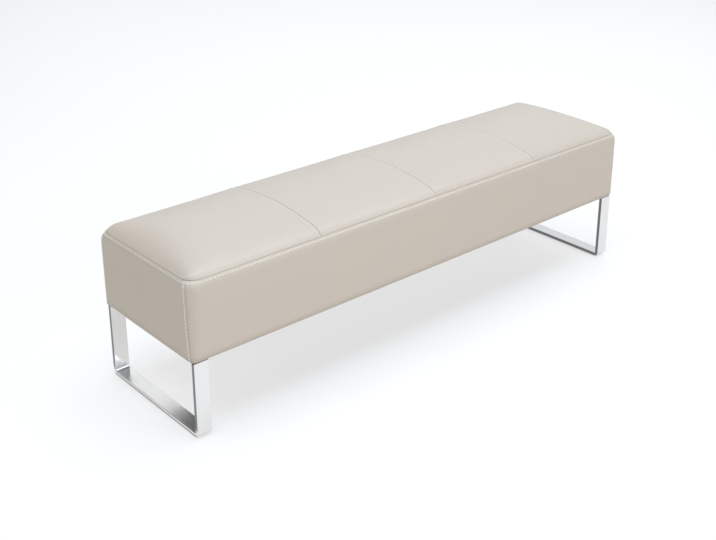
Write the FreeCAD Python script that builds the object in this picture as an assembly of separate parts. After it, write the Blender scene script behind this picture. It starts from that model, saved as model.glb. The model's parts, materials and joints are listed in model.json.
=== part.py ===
"""Backless waiting room bench: an upholstered box seat on two flat-bar sled legs.

All sizes are millimetres. X runs along the seat, -Y is the front and Z is up. The origin is on the floor,
under the middle of the seat.
"""

import FreeCAD
import Part

import os
from math import acos, atan2, ceil, cos, pi, radians, sin, sqrt

Vector = FreeCAD.Vector
X_AXIS = Vector(1, 0, 0)
Y_AXIS = Vector(0, 1, 0)
Z_AXIS = Vector(0, 0, 1)
CENTRE = Vector(0, 0, 0)

# Seat, measured over its bulged sides
seat_length = 1540.0
seat_width = 400.0
seat_underside = 200.0
boxing_height = 205.0
crown_height = 35.0

# Cover: four crowned top panels over a boxed side that rolls under the frame
panel_count = 4
cover_thickness = 1.5
side_bulge = 4.0
plan_corner_radius = 20.0
under_edge_radius = 10.0
crown_edge_radius = 45.0
crown_edge_angle = radians(55.0)
crown_lip = 0.5
channel_depth = 2.5
channel_half_width = 18.0
flange_on_rail = 15.0

# Facets that follow the crown's curves along the seat
edge_facets = 8
crown_facets = 6
channel_facets = 6

# Padding
wadding_thickness = 10.0
foam_edge_height = 75.0
soft_clearance = 0.3

# Timber frame
deck_thickness = 12.0
rail_thickness = 18.0
rib_thickness = 18.0
rib_count = 3
bearer_thickness = 21.0
bearer_width = 100.0
corner_block_leg = 45.0

# Wood screws
screw_head_radius = 4.0
screw_shank_radius = 2.0
screw_clearance = 0.1
deck_screw_length = 38.0
deck_screws_per_rail = 8
deck_screws_per_end = 2
frame_screw_length = 55.0
frame_screw_edge = 30.0
bearer_screw_spacing = 50.0

# Dust cover and staples
dust_cover_thickness = 0.8
dust_cover_margin = 4.0
staple_wire = 0.8
staple_crown = 10.0
staple_leg = 8.0
staple_pitch = 60.0
staple_row_inset = 9.0
staple_plate_gap = 12.0

# Legs
leg_bar_width = 40.0
leg_bar_thickness = 10.0
leg_inner_bend = 3.0
leg_edge_radius = 1.0
leg_end_inset = 10.0
leg_side_inset = 8.0

# Mounting plates and their bolts
plate_thickness = 5.0
plate_setback = 3.0
plate_corner_radius = 6.0
bolt_radius = 4.0
bolt_length = 25.0
bolt_head_flats = 13.0
bolt_head_height = 5.3
bolt_hole_clearance = 0.5
bolt_spacing_along = 45.0
bolt_side_distance = 100.0
bolt_edge_distance = 18.0
thread_clearance = 0.1
washer_radius = 8.0
washer_thickness = 1.6
tee_nut_flange_radius = 9.5
tee_nut_flange_thickness = 1.5
tee_nut_barrel_radius = 5.0
tee_nut_barrel_length = 9.0

# Floor glides
glide_radius = 9.0
glide_height = 3.0
glide_edge_radius = 0.8
glide_stem_radius = 3.0
glide_stem_length = 6.0
glide_stem_clearance = 0.1
glide_inset = 45.0

# Levels and outlines that follow from the sizes above
half_length = seat_length / 2
half_width = seat_width / 2
seam_z = seat_underside + boxing_height
seam_half_length = half_length - side_bulge
seam_half_width = half_width - side_bulge
seam_corner_radius = plan_corner_radius - side_bulge
deck_top = seam_z - foam_edge_height
rail_top = deck_top - deck_thickness
frame_bottom = seat_underside + cover_thickness
plate_top = seat_underside - dust_cover_thickness
# How far a cutting tool runs past what it cuts
through = 5.0


class Arch:
    """A three-centred arch: a wide crown arc that turns down into a tighter arc at each edge."""

    def __init__(self, reach, crown, edge_radius, edge_angle):
        self.reach = reach
        self.crown = crown
        self.edge_radius = edge_radius
        self.edge_angle = edge_angle
        self.edge_y = reach - edge_radius * sin(edge_angle)
        self.edge_z = -edge_radius * cos(edge_angle)
        rise = crown - self.edge_z
        square = self.edge_y ** 2 + rise ** 2 - edge_radius ** 2
        self.crown_radius = square / (2 * (rise - edge_radius))
        self.meet_angle = atan2(self.edge_y, self.crown_radius - rise)

    def edge_point(self, angle):
        """Point of the edge arc, by its angle from straight up."""
        return self.edge_y + self.edge_radius * sin(angle), self.edge_z + self.edge_radius * cos(angle)

    def height(self, y):
        """Height of the arch over its springing line, y from the middle."""
        if y > self.crown_radius * sin(self.meet_angle):
            return self.edge_z + sqrt(max(self.edge_radius ** 2 - (y - self.edge_y) ** 2, 0.0))
        return self.crown - self.crown_radius + sqrt(self.crown_radius ** 2 - y ** 2)

    def wire(self, x, drop):
        """Closed section of the arch at x, with straight sides below the seam where drop isn't zero."""
        middle = (self.edge_angle + self.meet_angle) / 2
        marks = [self.edge_point(angle) for angle in (self.edge_angle, middle, self.meet_angle)]
        right = [Vector(x, y, seam_z + z) for y, z in marks]
        left = [Vector(x, -y, seam_z + z) for y, z in marks]
        top = Vector(x, 0, seam_z + self.crown)
        edges = [Part.Arc(right[0], right[1], right[2]).toShape()]
        edges.append(Part.Arc(right[2], top, left[2]).toShape())
        edges.append(Part.Arc(left[2], left[1], left[0]).toShape())
        floor = Vector(0, 0, drop)
        if drop:
            edges.append(Part.makeLine(left[0], left[0] - floor))
        edges.append(Part.makeLine(left[0] - floor, right[0] - floor))
        if drop:
            edges.append(Part.makeLine(right[0] - floor, right[0]))
        return Part.Wire(edges)


class Dome:
    """The crowned top of the seat, or a layer of it that lies a set depth inside the cover's outer face."""

    def __init__(self, depth, channels, rounded):
        outer = Arch(seam_half_width, crown_height, crown_edge_radius, crown_edge_angle)
        edge_radius = crown_edge_radius - depth
        edge_angle = acos(-outer.edge_z / edge_radius)
        reach = outer.edge_y + edge_radius * sin(edge_angle)
        self.arch = Arch(reach, crown_height - depth, edge_radius, edge_angle)
        self.shift = seam_half_width - reach
        self.half_width = reach
        self.half_length = seam_half_length - self.shift
        self.channels = channels
        self.corner = max(seam_corner_radius - self.shift, 0.0) if rounded else 0.0

    def channel(self, x):
        """How far the cover is drawn down at x by the nearest cross seam."""
        nearest = min(abs(x - seam) for seam in cross_seams)
        share = max(1 - nearest / channel_half_width, 0.0)
        return channel_depth * share ** 2 if self.channels else 0.0

    def section(self, x, law_x, drop):
        """Section at x, shaped as the dome is at law_x."""
        inward = self.half_length - abs(law_x)
        crown = self.arch.height(max(self.half_width - inward, 0.0)) - self.channel(law_x)
        crown = max(crown, crown_lip)
        reach = self.half_width
        if inward < self.corner:
            reach -= self.corner - sqrt(self.corner ** 2 - (self.corner - inward) ** 2)
        angle = self.arch.edge_angle * crown / self.arch.crown
        return Arch(reach, crown, self.arch.edge_radius, angle).wire(x, drop)

    def end_steps(self):
        """Distances in from an end where the dome's shape is set: round the plan corner, then up the arch."""
        arch = self.arch
        turns = [radians(turn) for turn in (18, 36, 54, 72, 90)]
        steps = [self.corner * (1 - cos(turn)) for turn in turns] if self.corner else []
        spread = arch.edge_angle - arch.meet_angle
        edge_angles = [arch.edge_angle - spread * step / edge_facets for step in range(edge_facets + 1)]
        crown_angles = [arch.meet_angle * (1 - step / crown_facets) for step in range(1, crown_facets + 1)]
        climb = [arch.reach - arch.edge_point(angle)[0] for angle in edge_angles]
        climb += [arch.reach - arch.crown_radius * sin(angle) for angle in crown_angles]
        return [0.0] + steps + [step for step in climb if step > self.corner + crown_lip]

    def seam_steps(self):
        """Distances from a cross seam where the channel's shape is set."""
        return [channel_half_width * step / channel_facets for step in range(channel_facets + 1)]

    def loft(self, low, high, drop, overrun=0.0):
        """Solid of the dome from low to high, run on past a cross seam by overrun."""
        low_steps = self.end_steps() if low <= -self.half_length else self.seam_steps()
        high_steps = self.end_steps() if high >= self.half_length else self.seam_steps()
        low = max(low, -self.half_length)
        high = min(high, self.half_length)
        stations = [low + step for step in low_steps] + [high - step for step in reversed(high_steps)]
        pairs = [(x, x) for x in stations]
        if overrun and low > -self.half_length:
            pairs.insert(0, (low - overrun, low))
        if overrun and high < self.half_length:
            pairs.append((high + overrun, high))
        return Part.makeLoft([self.section(x, law_x, drop) for x, law_x in pairs], True, True)


def box(low, high):
    """Block between two opposite corners."""
    low = Vector(*low)
    size = Vector(*high) - low
    return Part.makeBox(size.x, size.y, size.z, low)


def centred_box(length, width, low_z, high_z):
    """Block about the Z axis, given by its half length and half width."""
    return box((-length, -width, low_z), (length, width, high_z))


def mirrored(shape, axis):
    """The shape's twin on the other side of the seat's middle."""
    return shape.mirror(CENTRE, axis)


def four_ways(shape):
    """The shape and its twins in all four quarters of the seat."""
    pair = [shape, mirrored(shape, X_AXIS)]
    return pair + [mirrored(each, Y_AXIS) for each in pair]


def boxing_profile(depth, rise):
    """Face of the side wall's outline, out from a plan corner's centre, a set depth inside the cover."""
    reach = plan_corner_radius - side_bulge - depth
    foot_z = seat_underside + under_edge_radius
    bottom_z = seat_underside + depth
    roll_u = plan_corner_radius - side_bulge - under_edge_radius
    roll = under_edge_radius - depth
    start = Vector(0, 0, bottom_z)
    under = Vector(roll_u, 0, bottom_z)
    roll_middle = Vector(roll_u + roll * sin(pi / 4), 0, foot_z - roll * cos(pi / 4))
    foot = Vector(reach, 0, foot_z)
    belly = Vector(plan_corner_radius - depth, 0, (foot_z + seam_z) / 2)
    seam = Vector(reach, 0, seam_z)
    edges = [Part.makeLine(start, under)]
    edges.append(Part.Arc(under, roll_middle, foot).toShape())
    edges.append(Part.Arc(foot, belly, seam).toShape())
    if rise:
        edges.append(Part.makeLine(seam, seam + Vector(0, 0, rise)))
    top = Vector(0, 0, seam_z + rise)
    edges.append(Part.makeLine(Vector(reach, 0, seam_z + rise), top))
    edges.append(Part.makeLine(top, start))
    return Part.Face(Part.Wire(edges))


def boxing_volume(depth, rise=0.0):
    """Solid inside the boxing, a set depth in from its outer face, with bulged walls and round corners."""
    flat_length = half_length - plan_corner_radius
    flat_width = half_width - plan_corner_radius
    corners = [Vector(flat_length, flat_width, 0), Vector(-flat_length, flat_width, 0)]
    corners += [Vector(-flat_length, -flat_width, 0), Vector(flat_length, -flat_width, 0)]
    runs = [2 * flat_width, 2 * flat_length] * 2
    face = boxing_profile(depth, rise)
    pieces = []
    for turn in range(4):
        wall = face.extrude(Vector(0, runs[turn], 0))
        round_corner = face.revolve(CENTRE, Z_AXIS, 90)
        for piece, place in ((wall, corners[turn - 1]), (round_corner, corners[turn])):
            piece.rotate(CENTRE, Z_AXIS, 90 * turn)
            piece.translate(place)
            pieces.append(piece)
    core = centred_box(flat_length, flat_width, seat_underside + depth, seam_z + rise)
    return core.multiFuse(pieces).removeSplitter()


def mitre_wedge(side):
    """Prism that holds one side of the seat, cut at 45 degrees through the plan corners."""
    far_x = half_length + through
    far_y = half_width + through
    meet = half_length - half_width
    if side in ("front", "back"):
        outline = [(-far_x, far_y), (-meet, 0), (meet, 0), (far_x, far_y)]
    else:
        outline = [(far_x, -far_y), (far_x, far_y), (meet, 0)]
    flip_x = -1 if side == "left_end" else 1
    flip_y = -1 if side == "front" else 1
    points = [Vector(flip_x * x, flip_y * y, 0) for x, y in outline]
    face = Part.Face(Part.makePolygon(points + points[:1]))
    return face.extrude(Vector(0, 0, seam_z + crown_height))


def wood_screw(length, clearance=0.0):
    """Countersunk screw with its head's flat face at the origin, pointing down."""
    head = screw_head_radius + clearance
    shank = screw_shank_radius + clearance
    neck = head - shank
    tip = 2 * shank
    points = [(0, 0), (head, 0), (shank, -neck), (shank, tip - length), (0, -length), (0, 0)]
    face = Part.Face(Part.makePolygon([Vector(x, 0, z) for x, z in points]))
    return face.revolve(CENTRE, Z_AXIS, 360)


def placed(shape, position, turn=0.0, axis=X_AXIS):
    """Copy of a shape, turned about an axis through the origin and moved to a position."""
    copy = shape.copy()
    copy.rotate(CENTRE, axis, turn)
    copy.translate(position)
    return copy


def cylinder(radius, height, position):
    """Upright cylinder standing on a position."""
    return Part.makeCylinder(radius, height, position, Z_AXIS)


def cut_all(shape, tools):
    """The shape with every tool that reaches it cut away."""
    near = [tool for tool in tools if shape.BoundBox.intersect(tool.BoundBox)]
    return shape.cut(Part.makeCompound(near)) if near else shape


# The cross seams part the top evenly, and the outer panels run on past the ends of every dome
cross_seams = [seat_length * (step / panel_count - 0.5) for step in range(1, panel_count)]
panel_edges = [-seat_length] + cross_seams + [seat_length]

# Layers under the cover, and the square core of foam and timber inside them
wadding_depth = cover_thickness + soft_clearance
foam_depth = wadding_depth + wadding_thickness + soft_clearance
cover_dome = Dome(0.0, True, True)
lining_dome = Dome(cover_thickness, True, True)
wadding_dome = Dome(wadding_depth, True, True)
wadding_core_dome = Dome(wadding_depth + wadding_thickness, False, False)
foam_dome = Dome(foam_depth, False, False)
core_half_length = foam_dome.half_length
core_half_width = foam_dome.half_width
bay_half_length = core_half_length - rail_thickness
bay_half_width = core_half_width - rail_thickness

# Legs and what bolts them on
leg_outer_x = half_length - leg_end_inset
leg_centre_x = leg_outer_x - leg_bar_width / 2
leg_outer_y = half_width - leg_side_inset
leg_inner_y = leg_outer_y - leg_bar_thickness
bearer_centre_x = bay_half_length - bearer_width / 2
plate_outer_x = leg_outer_x - plate_setback
plate_inner_x = bearer_centre_x - bolt_spacing_along / 2 - bolt_edge_distance
plate_bottom = plate_top - plate_thickness
bearer_top = seat_underside + bearer_thickness
rib_positions = [bay_half_length * (2 * step / (rib_count + 1) - 1) for step in range(1, rib_count + 1)]
bolt_y = half_width - bolt_side_distance
bolt_places = [
    Vector(side_x * (bearer_centre_x + along * bolt_spacing_along / 2), side_y * bolt_y, 0)
    for side_x in (-1, 1) for along in (-1, 1) for side_y in (-1, 1)
]
glide_places = {
    f"{depth_name}_{side_name}_glide": Vector(side_x * leg_centre_x, side_y * (leg_outer_y - glide_inset), 0)
    for side_name, side_x in (("left", -1), ("right", 1))
    for depth_name, side_y in (("front", -1), ("back", 1))
}


def top_panels():
    """The crowned cover panels, each drawn down along its cross seams."""
    panels = {}
    for index in range(panel_count):
        low, high = panel_edges[index], panel_edges[index + 1]
        outer = cover_dome.loft(low, high, 0.0)
        inner = lining_dome.loft(low, high, through, through)
        panels[f"top_panel_{index + 1}"] = outer.cut(inner)
    return panels


def boxing_panels(staple_holes):
    """The four side panels of the cover, mitred at the corner seams, with a flange under the rails."""
    shell = boxing_volume(0.0).cut(boxing_volume(cover_thickness, through))
    opening_length = core_half_length - flange_on_rail
    opening_width = core_half_width - flange_on_rail
    shell = shell.cut(centred_box(opening_length, opening_width, seat_underside - through, seam_z))
    sides = ("front", "back", "left_end", "right_end")
    return {f"{side}_boxing": cut_all(shell.common(mitre_wedge(side)), staple_holes) for side in sides}


def side_pads():
    """Foam pads between the boxing and the frame, mitred at the corners."""
    length = core_half_length + soft_clearance
    width = core_half_width + soft_clearance
    ring = boxing_volume(wadding_depth).cut(centred_box(length, width, 0, seam_z + through))
    sides = ("front", "back", "left_end", "right_end")
    return {f"{side}_pad": ring.common(mitre_wedge(side)) for side in sides}


def top_wadding():
    """One piece of wadding behind each top panel, kept apart at the cross seams."""
    core = wadding_core_dome.loft(-seat_length, seat_length, through)
    pieces = []
    for index in range(panel_count):
        low, high = panel_edges[index], panel_edges[index + 1]
        outer = wadding_dome.loft(low + soft_clearance / 2, high - soft_clearance / 2, 0.0)
        pieces.append(outer.cut(core))
    return Part.makeCompound(pieces)


def foam_slab():
    """Crowned seat foam, standing on the deck."""
    return foam_dome.loft(-seat_length, seat_length, foam_edge_height)


def deck_screws(clearance=0.0):
    """Screws through the deck into the rails, heads flush with the deck."""
    screw = wood_screw(deck_screw_length, clearance)
    pitch = 2 * core_half_length / deck_screws_per_rail
    rail_y = core_half_width - rail_thickness / 2
    end_x = core_half_length - rail_thickness / 2
    end_pitch = 2 * core_half_width / (deck_screws_per_end + 1)
    places = []
    for index in range(deck_screws_per_rail):
        x = pitch * (index + 0.5) - core_half_length
        places += [Vector(x, rail_y, deck_top), Vector(x, -rail_y, deck_top)]
    for index in range(deck_screws_per_end):
        y = end_pitch * (index + 1) - core_half_width
        places += [Vector(end_x, y, deck_top), Vector(-end_x, y, deck_top)]
    return [placed(screw, place) for place in places]


def frame_screws(clearance=0.0):
    """Screws through the long rails into the end rails, ribs and leg bearers."""
    screw = wood_screw(frame_screw_length, clearance)
    heights = (frame_bottom + frame_screw_edge, rail_top - frame_screw_edge)
    end_x = core_half_length - rail_thickness / 2
    places = [(x, z) for x in [-end_x, end_x] + rib_positions for z in heights]
    bearer_z = seat_underside + bearer_thickness / 2
    for side in (-1, 1):
        for offset in (-1, 1):
            places.append((side * bearer_centre_x + offset * bearer_screw_spacing / 2, bearer_z))
    front = [placed(screw, Vector(x, -core_half_width, z), 90) for x, z in places]
    return front + [mirrored(each, Y_AXIS) for each in front]


def staples():
    """Staples along the front and back that hold the dust cover and the flange, clear of the plates."""
    crown_z = plate_top
    run = plate_inner_x - staple_plate_gap
    count = ceil(2 * run / staple_pitch)
    pitch = 2 * run / count
    row_y = core_half_width - staple_row_inset
    half_crown = staple_crown / 2
    half_wire = staple_wire / 2
    bar = box((-half_crown, -half_wire, crown_z - staple_wire), (half_crown, half_wire, crown_z))
    leg = box((-half_crown, -half_wire, crown_z), (staple_wire - half_crown, half_wire, crown_z + staple_leg))
    legs = [leg, mirrored(leg, X_AXIS)]
    staple = bar.multiFuse(legs).removeSplitter()
    places = [Vector(pitch * index - run, side * row_y, 0) for index in range(count + 1) for side in (-1, 1)]
    holes = [placed(each, place) for place in places for each in legs]
    return [placed(staple, place) for place in places], holes


def timber_frame(screw_holes, staple_holes, bolt_holes):
    """Rails, ribs, bearers, corner blocks and deck, with their pilot holes."""
    pieces = {}
    low = (-core_half_length, bay_half_width, frame_bottom)
    back_rail = box(low, (core_half_length, core_half_width, rail_top))
    pieces["back_rail"] = back_rail
    pieces["front_rail"] = mirrored(back_rail, Y_AXIS)
    low = (bay_half_length, -bay_half_width, frame_bottom)
    right_rail = box(low, (core_half_length, bay_half_width, rail_top))
    pieces["right_end_rail"] = right_rail
    pieces["left_end_rail"] = mirrored(right_rail, X_AXIS)
    for index, x in enumerate(rib_positions):
        low = (x - rib_thickness / 2, -bay_half_width, frame_bottom)
        high = (x + rib_thickness / 2, bay_half_width, rail_top)
        pieces[f"cross_rib_{index + 1}"] = box(low, high)
    inner_x = bay_half_length - bearer_width
    bearer = box((inner_x, -bay_half_width, seat_underside), (bay_half_length, bay_half_width, bearer_top))
    pieces["right_leg_bearer"] = bearer
    pieces["left_leg_bearer"] = mirrored(bearer, X_AXIS)
    pieces["seat_deck"] = centred_box(core_half_length, core_half_width, rail_top, deck_top)
    corner = Vector(bay_half_length, bay_half_width, bearer_top)
    points = [corner, corner - X_AXIS * corner_block_leg, corner - Y_AXIS * corner_block_leg, corner]
    block = Part.Face(Part.makePolygon(points)).extrude(Vector(0, 0, rail_top - bearer_top))
    holes = screw_holes + staple_holes + bolt_holes
    pieces = {name: cut_all(piece, holes) for name, piece in pieces.items()}
    pieces["corner_blocks"] = Part.makeCompound(four_ways(block))
    return pieces


def dust_cover(staple_holes, bolt_holes):
    """Thin cloth under the frame, over the cover's turned-under edge."""
    length = core_half_length - dust_cover_margin
    width = core_half_width - dust_cover_margin
    return cut_all(centred_box(length, width, plate_top, seat_underside), staple_holes + bolt_holes)


def leg_hoop():
    """Right-hand leg: one flat bar bent to a U, with blind holes for the glide stems."""
    low = glide_height
    high = plate_top
    outer_bend = leg_inner_bend + leg_bar_thickness
    bend_y = leg_outer_y - outer_bend
    bend_z = low + outer_bend
    half = sin(pi / 4)

    def bend(radius, side):
        """Quarter circle of one bend, from the upright to the bottom bar."""
        start = Vector(0, side * (bend_y + radius), bend_z)
        middle = Vector(0, side * (bend_y + radius * half), bend_z - radius * half)
        return start, middle, Vector(0, side * bend_y, bend_z - radius)

    outer_left, outer_right = bend(outer_bend, -1), bend(outer_bend, 1)
    inner_left, inner_right = bend(leg_inner_bend, -1), bend(leg_inner_bend, 1)
    tops = [Vector(0, y, high) for y in (-leg_outer_y, leg_outer_y, leg_inner_y, -leg_inner_y)]
    edges = [
        Part.makeLine(tops[0], outer_left[0]),
        Part.Arc(*outer_left).toShape(),
        Part.makeLine(outer_left[2], outer_right[2]),
        Part.Arc(*reversed(outer_right)).toShape(),
        Part.makeLine(outer_right[0], tops[1]),
        Part.makeLine(tops[1], tops[2]),
        Part.makeLine(tops[2], inner_right[0]),
        Part.Arc(*inner_right).toShape(),
        Part.makeLine(inner_right[2], inner_left[2]),
        Part.Arc(*reversed(inner_left)).toShape(),
        Part.makeLine(inner_left[0], tops[3]),
        Part.makeLine(tops[3], tops[0]),
    ]
    hoop = Part.Face(Part.Wire(edges)).extrude(Vector(leg_bar_width, 0, 0))
    hoop.translate(Vector(leg_centre_x - leg_bar_width / 2, 0, 0))
    long_edges = [edge for edge in hoop.Edges if edge.BoundBox.XLength < leg_edge_radius]
    long_edges = [edge for edge in long_edges if edge.BoundBox.ZMin < high - leg_edge_radius]
    hoop = hoop.makeFillet(leg_edge_radius, long_edges)
    hole = glide_stem_radius + glide_stem_clearance
    depth = glide_height + glide_stem_length + glide_stem_clearance
    return cut_all(hoop, [cylinder(hole, depth, place) for place in glide_places.values()])


def mounting_plate(bolt_holes):
    """Right-hand plate, welded between the leg's uprights under the dust cover."""
    plate = box((plate_inner_x, -leg_inner_y, plate_bottom), (plate_outer_x, leg_inner_y, plate_top))
    inner_corners = [edge for edge in plate.Edges if edge.BoundBox.XMax < plate_inner_x + through
                     and edge.BoundBox.YLength < through]
    return cut_all(plate.makeFillet(plate_corner_radius, inner_corners), bolt_holes)


def leg_bolts():
    """Hexagon head bolts up through the plates."""
    head_top = plate_bottom - washer_thickness
    across_corners = bolt_head_flats / cos(pi / 6) / 2
    turns = [turn * pi / 3 for turn in range(7)]
    corners = [Vector(across_corners * cos(turn), across_corners * sin(turn), 0) for turn in turns]
    head = Part.Face(Part.makePolygon(corners)).extrude(Vector(0, 0, -bolt_head_height))
    bolt = head.fuse(cylinder(bolt_radius, bolt_length, CENTRE)).removeSplitter()
    return [placed(bolt, place + Vector(0, 0, head_top)) for place in bolt_places]


def leg_washers():
    """Flat washers between the bolt heads and the plates."""
    bore = bolt_radius + bolt_hole_clearance
    washer = cylinder(washer_radius, washer_thickness, CENTRE).cut(cylinder(bore, washer_thickness, CENTRE))
    return [placed(washer, place + Vector(0, 0, plate_bottom - washer_thickness)) for place in bolt_places]


def tee_nuts():
    """Flanged nuts let into the bearers from above."""
    barrel = cylinder(tee_nut_barrel_radius, tee_nut_barrel_length, Vector(0, 0, -tee_nut_barrel_length))
    nut = barrel.fuse(cylinder(tee_nut_flange_radius, tee_nut_flange_thickness, CENTRE)).removeSplitter()
    bore = bolt_radius + thread_clearance
    nut = nut.cut(cylinder(bore, tee_nut_barrel_length + through, Vector(0, 0, -tee_nut_barrel_length)))
    return [placed(nut, place + Vector(0, 0, bearer_top)) for place in bolt_places]


def glide():
    """Push-in floor glide: a low round pad with a stem."""
    pad = cylinder(glide_radius, glide_height, CENTRE)
    rim = [edge for edge in pad.Edges if edge.BoundBox.ZMax < glide_edge_radius]
    pad = pad.makeFillet(glide_edge_radius, rim)
    stem = cylinder(glide_stem_radius, glide_stem_length, Vector(0, 0, glide_height))
    return pad.fuse(stem).removeSplitter()


def bolt_clearance_holes():
    """Tools for the bolt holes, widened in the bearers for the tee nut barrels."""
    bore = bolt_radius + bolt_hole_clearance
    barrel_z = bearer_top - tee_nut_barrel_length
    tools = []
    for place in bolt_places:
        low = Vector(0, 0, plate_bottom - through)
        shank = cylinder(bore, barrel_z - low.z, place + low)
        barrel = cylinder(tee_nut_barrel_radius, tee_nut_barrel_length, place + Vector(0, 0, barrel_z))
        tools.append(shank.fuse(barrel))
    return tools


def build():
    """Every piece of the bench, by its name."""
    staple_group, staple_holes = staples()
    screw_holes = deck_screws(screw_clearance) + frame_screws(screw_clearance)
    bolt_holes = bolt_clearance_holes()
    right_hoop = leg_hoop()
    right_plate = mounting_plate(bolt_holes)
    pieces = {}
    pieces.update(top_panels())
    pieces.update(boxing_panels(staple_holes))
    pieces.update(side_pads())
    pieces["top_wadding"] = top_wadding()
    pieces["foam_slab"] = foam_slab()
    pieces.update(timber_frame(screw_holes, staple_holes, bolt_holes))
    pieces["deck_screws"] = Part.makeCompound(deck_screws())
    pieces["frame_screws"] = Part.makeCompound(frame_screws())
    pieces["dust_cover"] = dust_cover(staple_holes, bolt_holes)
    pieces["cover_staples"] = Part.makeCompound(staple_group)
    pieces["right_leg_hoop"] = right_hoop
    pieces["left_leg_hoop"] = mirrored(right_hoop, X_AXIS)
    pieces["right_mounting_plate"] = right_plate
    pieces["left_mounting_plate"] = mirrored(right_plate, X_AXIS)
    pieces["leg_bolts"] = Part.makeCompound(leg_bolts())
    pieces["leg_washers"] = Part.makeCompound(leg_washers())
    pieces["tee_nuts"] = Part.makeCompound(tee_nuts())
    for name, place in glide_places.items():
        pieces[name] = placed(glide(), place)
    return pieces


os.makedirs("parts", exist_ok=True)
for node, shape in build().items():
    print(f"{node}: {len(shape.Solids)} solids, valid {shape.isValid()}, {shape.Volume / 1000:.1f} cm3")
    shape.exportStep(f"parts/{node}.step")
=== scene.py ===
"""Looks of the waiting room bench: its sewn cover, padding, thread, dust cover, finishes, light and camera.

Sizes are metres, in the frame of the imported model. X runs along the seat, -Y is the front and Z is up.
"""

import json
import logging
import math
from dataclasses import dataclass, field
from enum import Enum
from typing import Any

import bpy
import numpy as np
from mathutils import Euler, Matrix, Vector

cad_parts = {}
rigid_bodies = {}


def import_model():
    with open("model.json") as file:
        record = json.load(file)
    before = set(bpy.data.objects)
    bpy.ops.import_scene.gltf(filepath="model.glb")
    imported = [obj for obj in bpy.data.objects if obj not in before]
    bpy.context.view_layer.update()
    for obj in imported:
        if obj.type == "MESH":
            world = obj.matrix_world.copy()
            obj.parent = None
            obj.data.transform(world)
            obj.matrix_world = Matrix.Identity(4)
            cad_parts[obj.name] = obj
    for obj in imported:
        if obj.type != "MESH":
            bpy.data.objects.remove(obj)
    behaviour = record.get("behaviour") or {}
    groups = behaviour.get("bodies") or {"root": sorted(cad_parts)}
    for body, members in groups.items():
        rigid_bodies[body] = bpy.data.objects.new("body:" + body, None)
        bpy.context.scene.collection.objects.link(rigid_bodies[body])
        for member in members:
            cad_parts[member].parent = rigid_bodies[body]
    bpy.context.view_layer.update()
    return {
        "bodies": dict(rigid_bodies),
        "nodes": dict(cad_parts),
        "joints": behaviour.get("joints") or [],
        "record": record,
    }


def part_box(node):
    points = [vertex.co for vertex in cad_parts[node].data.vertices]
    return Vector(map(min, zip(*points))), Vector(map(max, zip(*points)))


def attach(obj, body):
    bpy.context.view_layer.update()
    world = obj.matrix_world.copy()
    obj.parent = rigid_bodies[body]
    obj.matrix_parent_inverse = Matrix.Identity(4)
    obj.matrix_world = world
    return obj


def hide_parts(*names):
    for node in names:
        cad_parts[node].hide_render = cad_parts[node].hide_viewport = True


log = logging.getLogger("bench")
Colour = tuple[float, float, float]
Place = tuple[float, float, float]
Pair = tuple[np.ndarray, np.ndarray]
Socket = bpy.types.NodeSocket
BODY = "root"
FRAME_WIDTH_PX = 716
TINY = 1e-12
LEAST_RISE = 1e-6

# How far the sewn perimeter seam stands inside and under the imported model's
SEAM_INSET = 0.0045
SEAM_DROP = 0.002


class Side(Enum):
    """The four sides of the seat. The back and right end are the front and left end, half turned."""

    FRONT = "front"
    BACK = "back"
    LEFT_END = "left_end"
    RIGHT_END = "right_end"

    @property
    def turn(self) -> float:
        """The sign of a half turn: -1 for the back and the right end, and 1 for the others."""
        return -1.0 if self in (Side.BACK, Side.RIGHT_END) else 1.0

    @property
    def long(self) -> bool:
        """Whether the side runs along the seat."""
        return self in (Side.FRONT, Side.BACK)


class Grain(Enum):
    """The way that a board's grain runs."""

    ALONG_X = 0
    ALONG_Y = 1
    ALONG_Z = 2


class RowShape(Enum):
    """What a row along a path is made of."""

    STITCH = "stitch"
    WELD_RIPPLE = "weld_ripple"


# Numbers, grids and meshes


def smooth_step(value: np.ndarray) -> np.ndarray:
    """Ease from 0 to 1 as the value goes from 0 to 1."""
    clipped = np.clip(value, 0.0, 1.0)
    return clipped * clipped * (3.0 - 2.0 * clipped)


def graded(
    length: float,
    fine_low: bool,
    fine_high: bool,
    first: float = 0.0006,
    widest: float = 0.004,
    growth: float = 1.28,
) -> np.ndarray:
    """Stations along a length that lie closer together at a sewn edge.

    Args:
        length: The whole length.
        fine_low: Whether the low end is a sewn edge.
        fine_high: Whether the high end is a sewn edge.
        first: The step at a sewn edge.
        widest: The step away from one.
        growth: How many times as long each step is as the one before it.

    Returns:
        The stations, from 0 to the length.
    """
    ramp = [0.0]
    step = first
    while step < widest:
        ramp.append(ramp[-1] + step)
        step *= growth
    low = ramp if fine_low else [0.0]
    high = [length - each for each in reversed(ramp)] if fine_high else [length]
    count = max(math.ceil((high[0] - low[-1]) / widest), 1)
    middle = np.linspace(low[-1], high[0], count + 1)[1:-1]
    return np.concatenate([low, middle, high])


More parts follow.
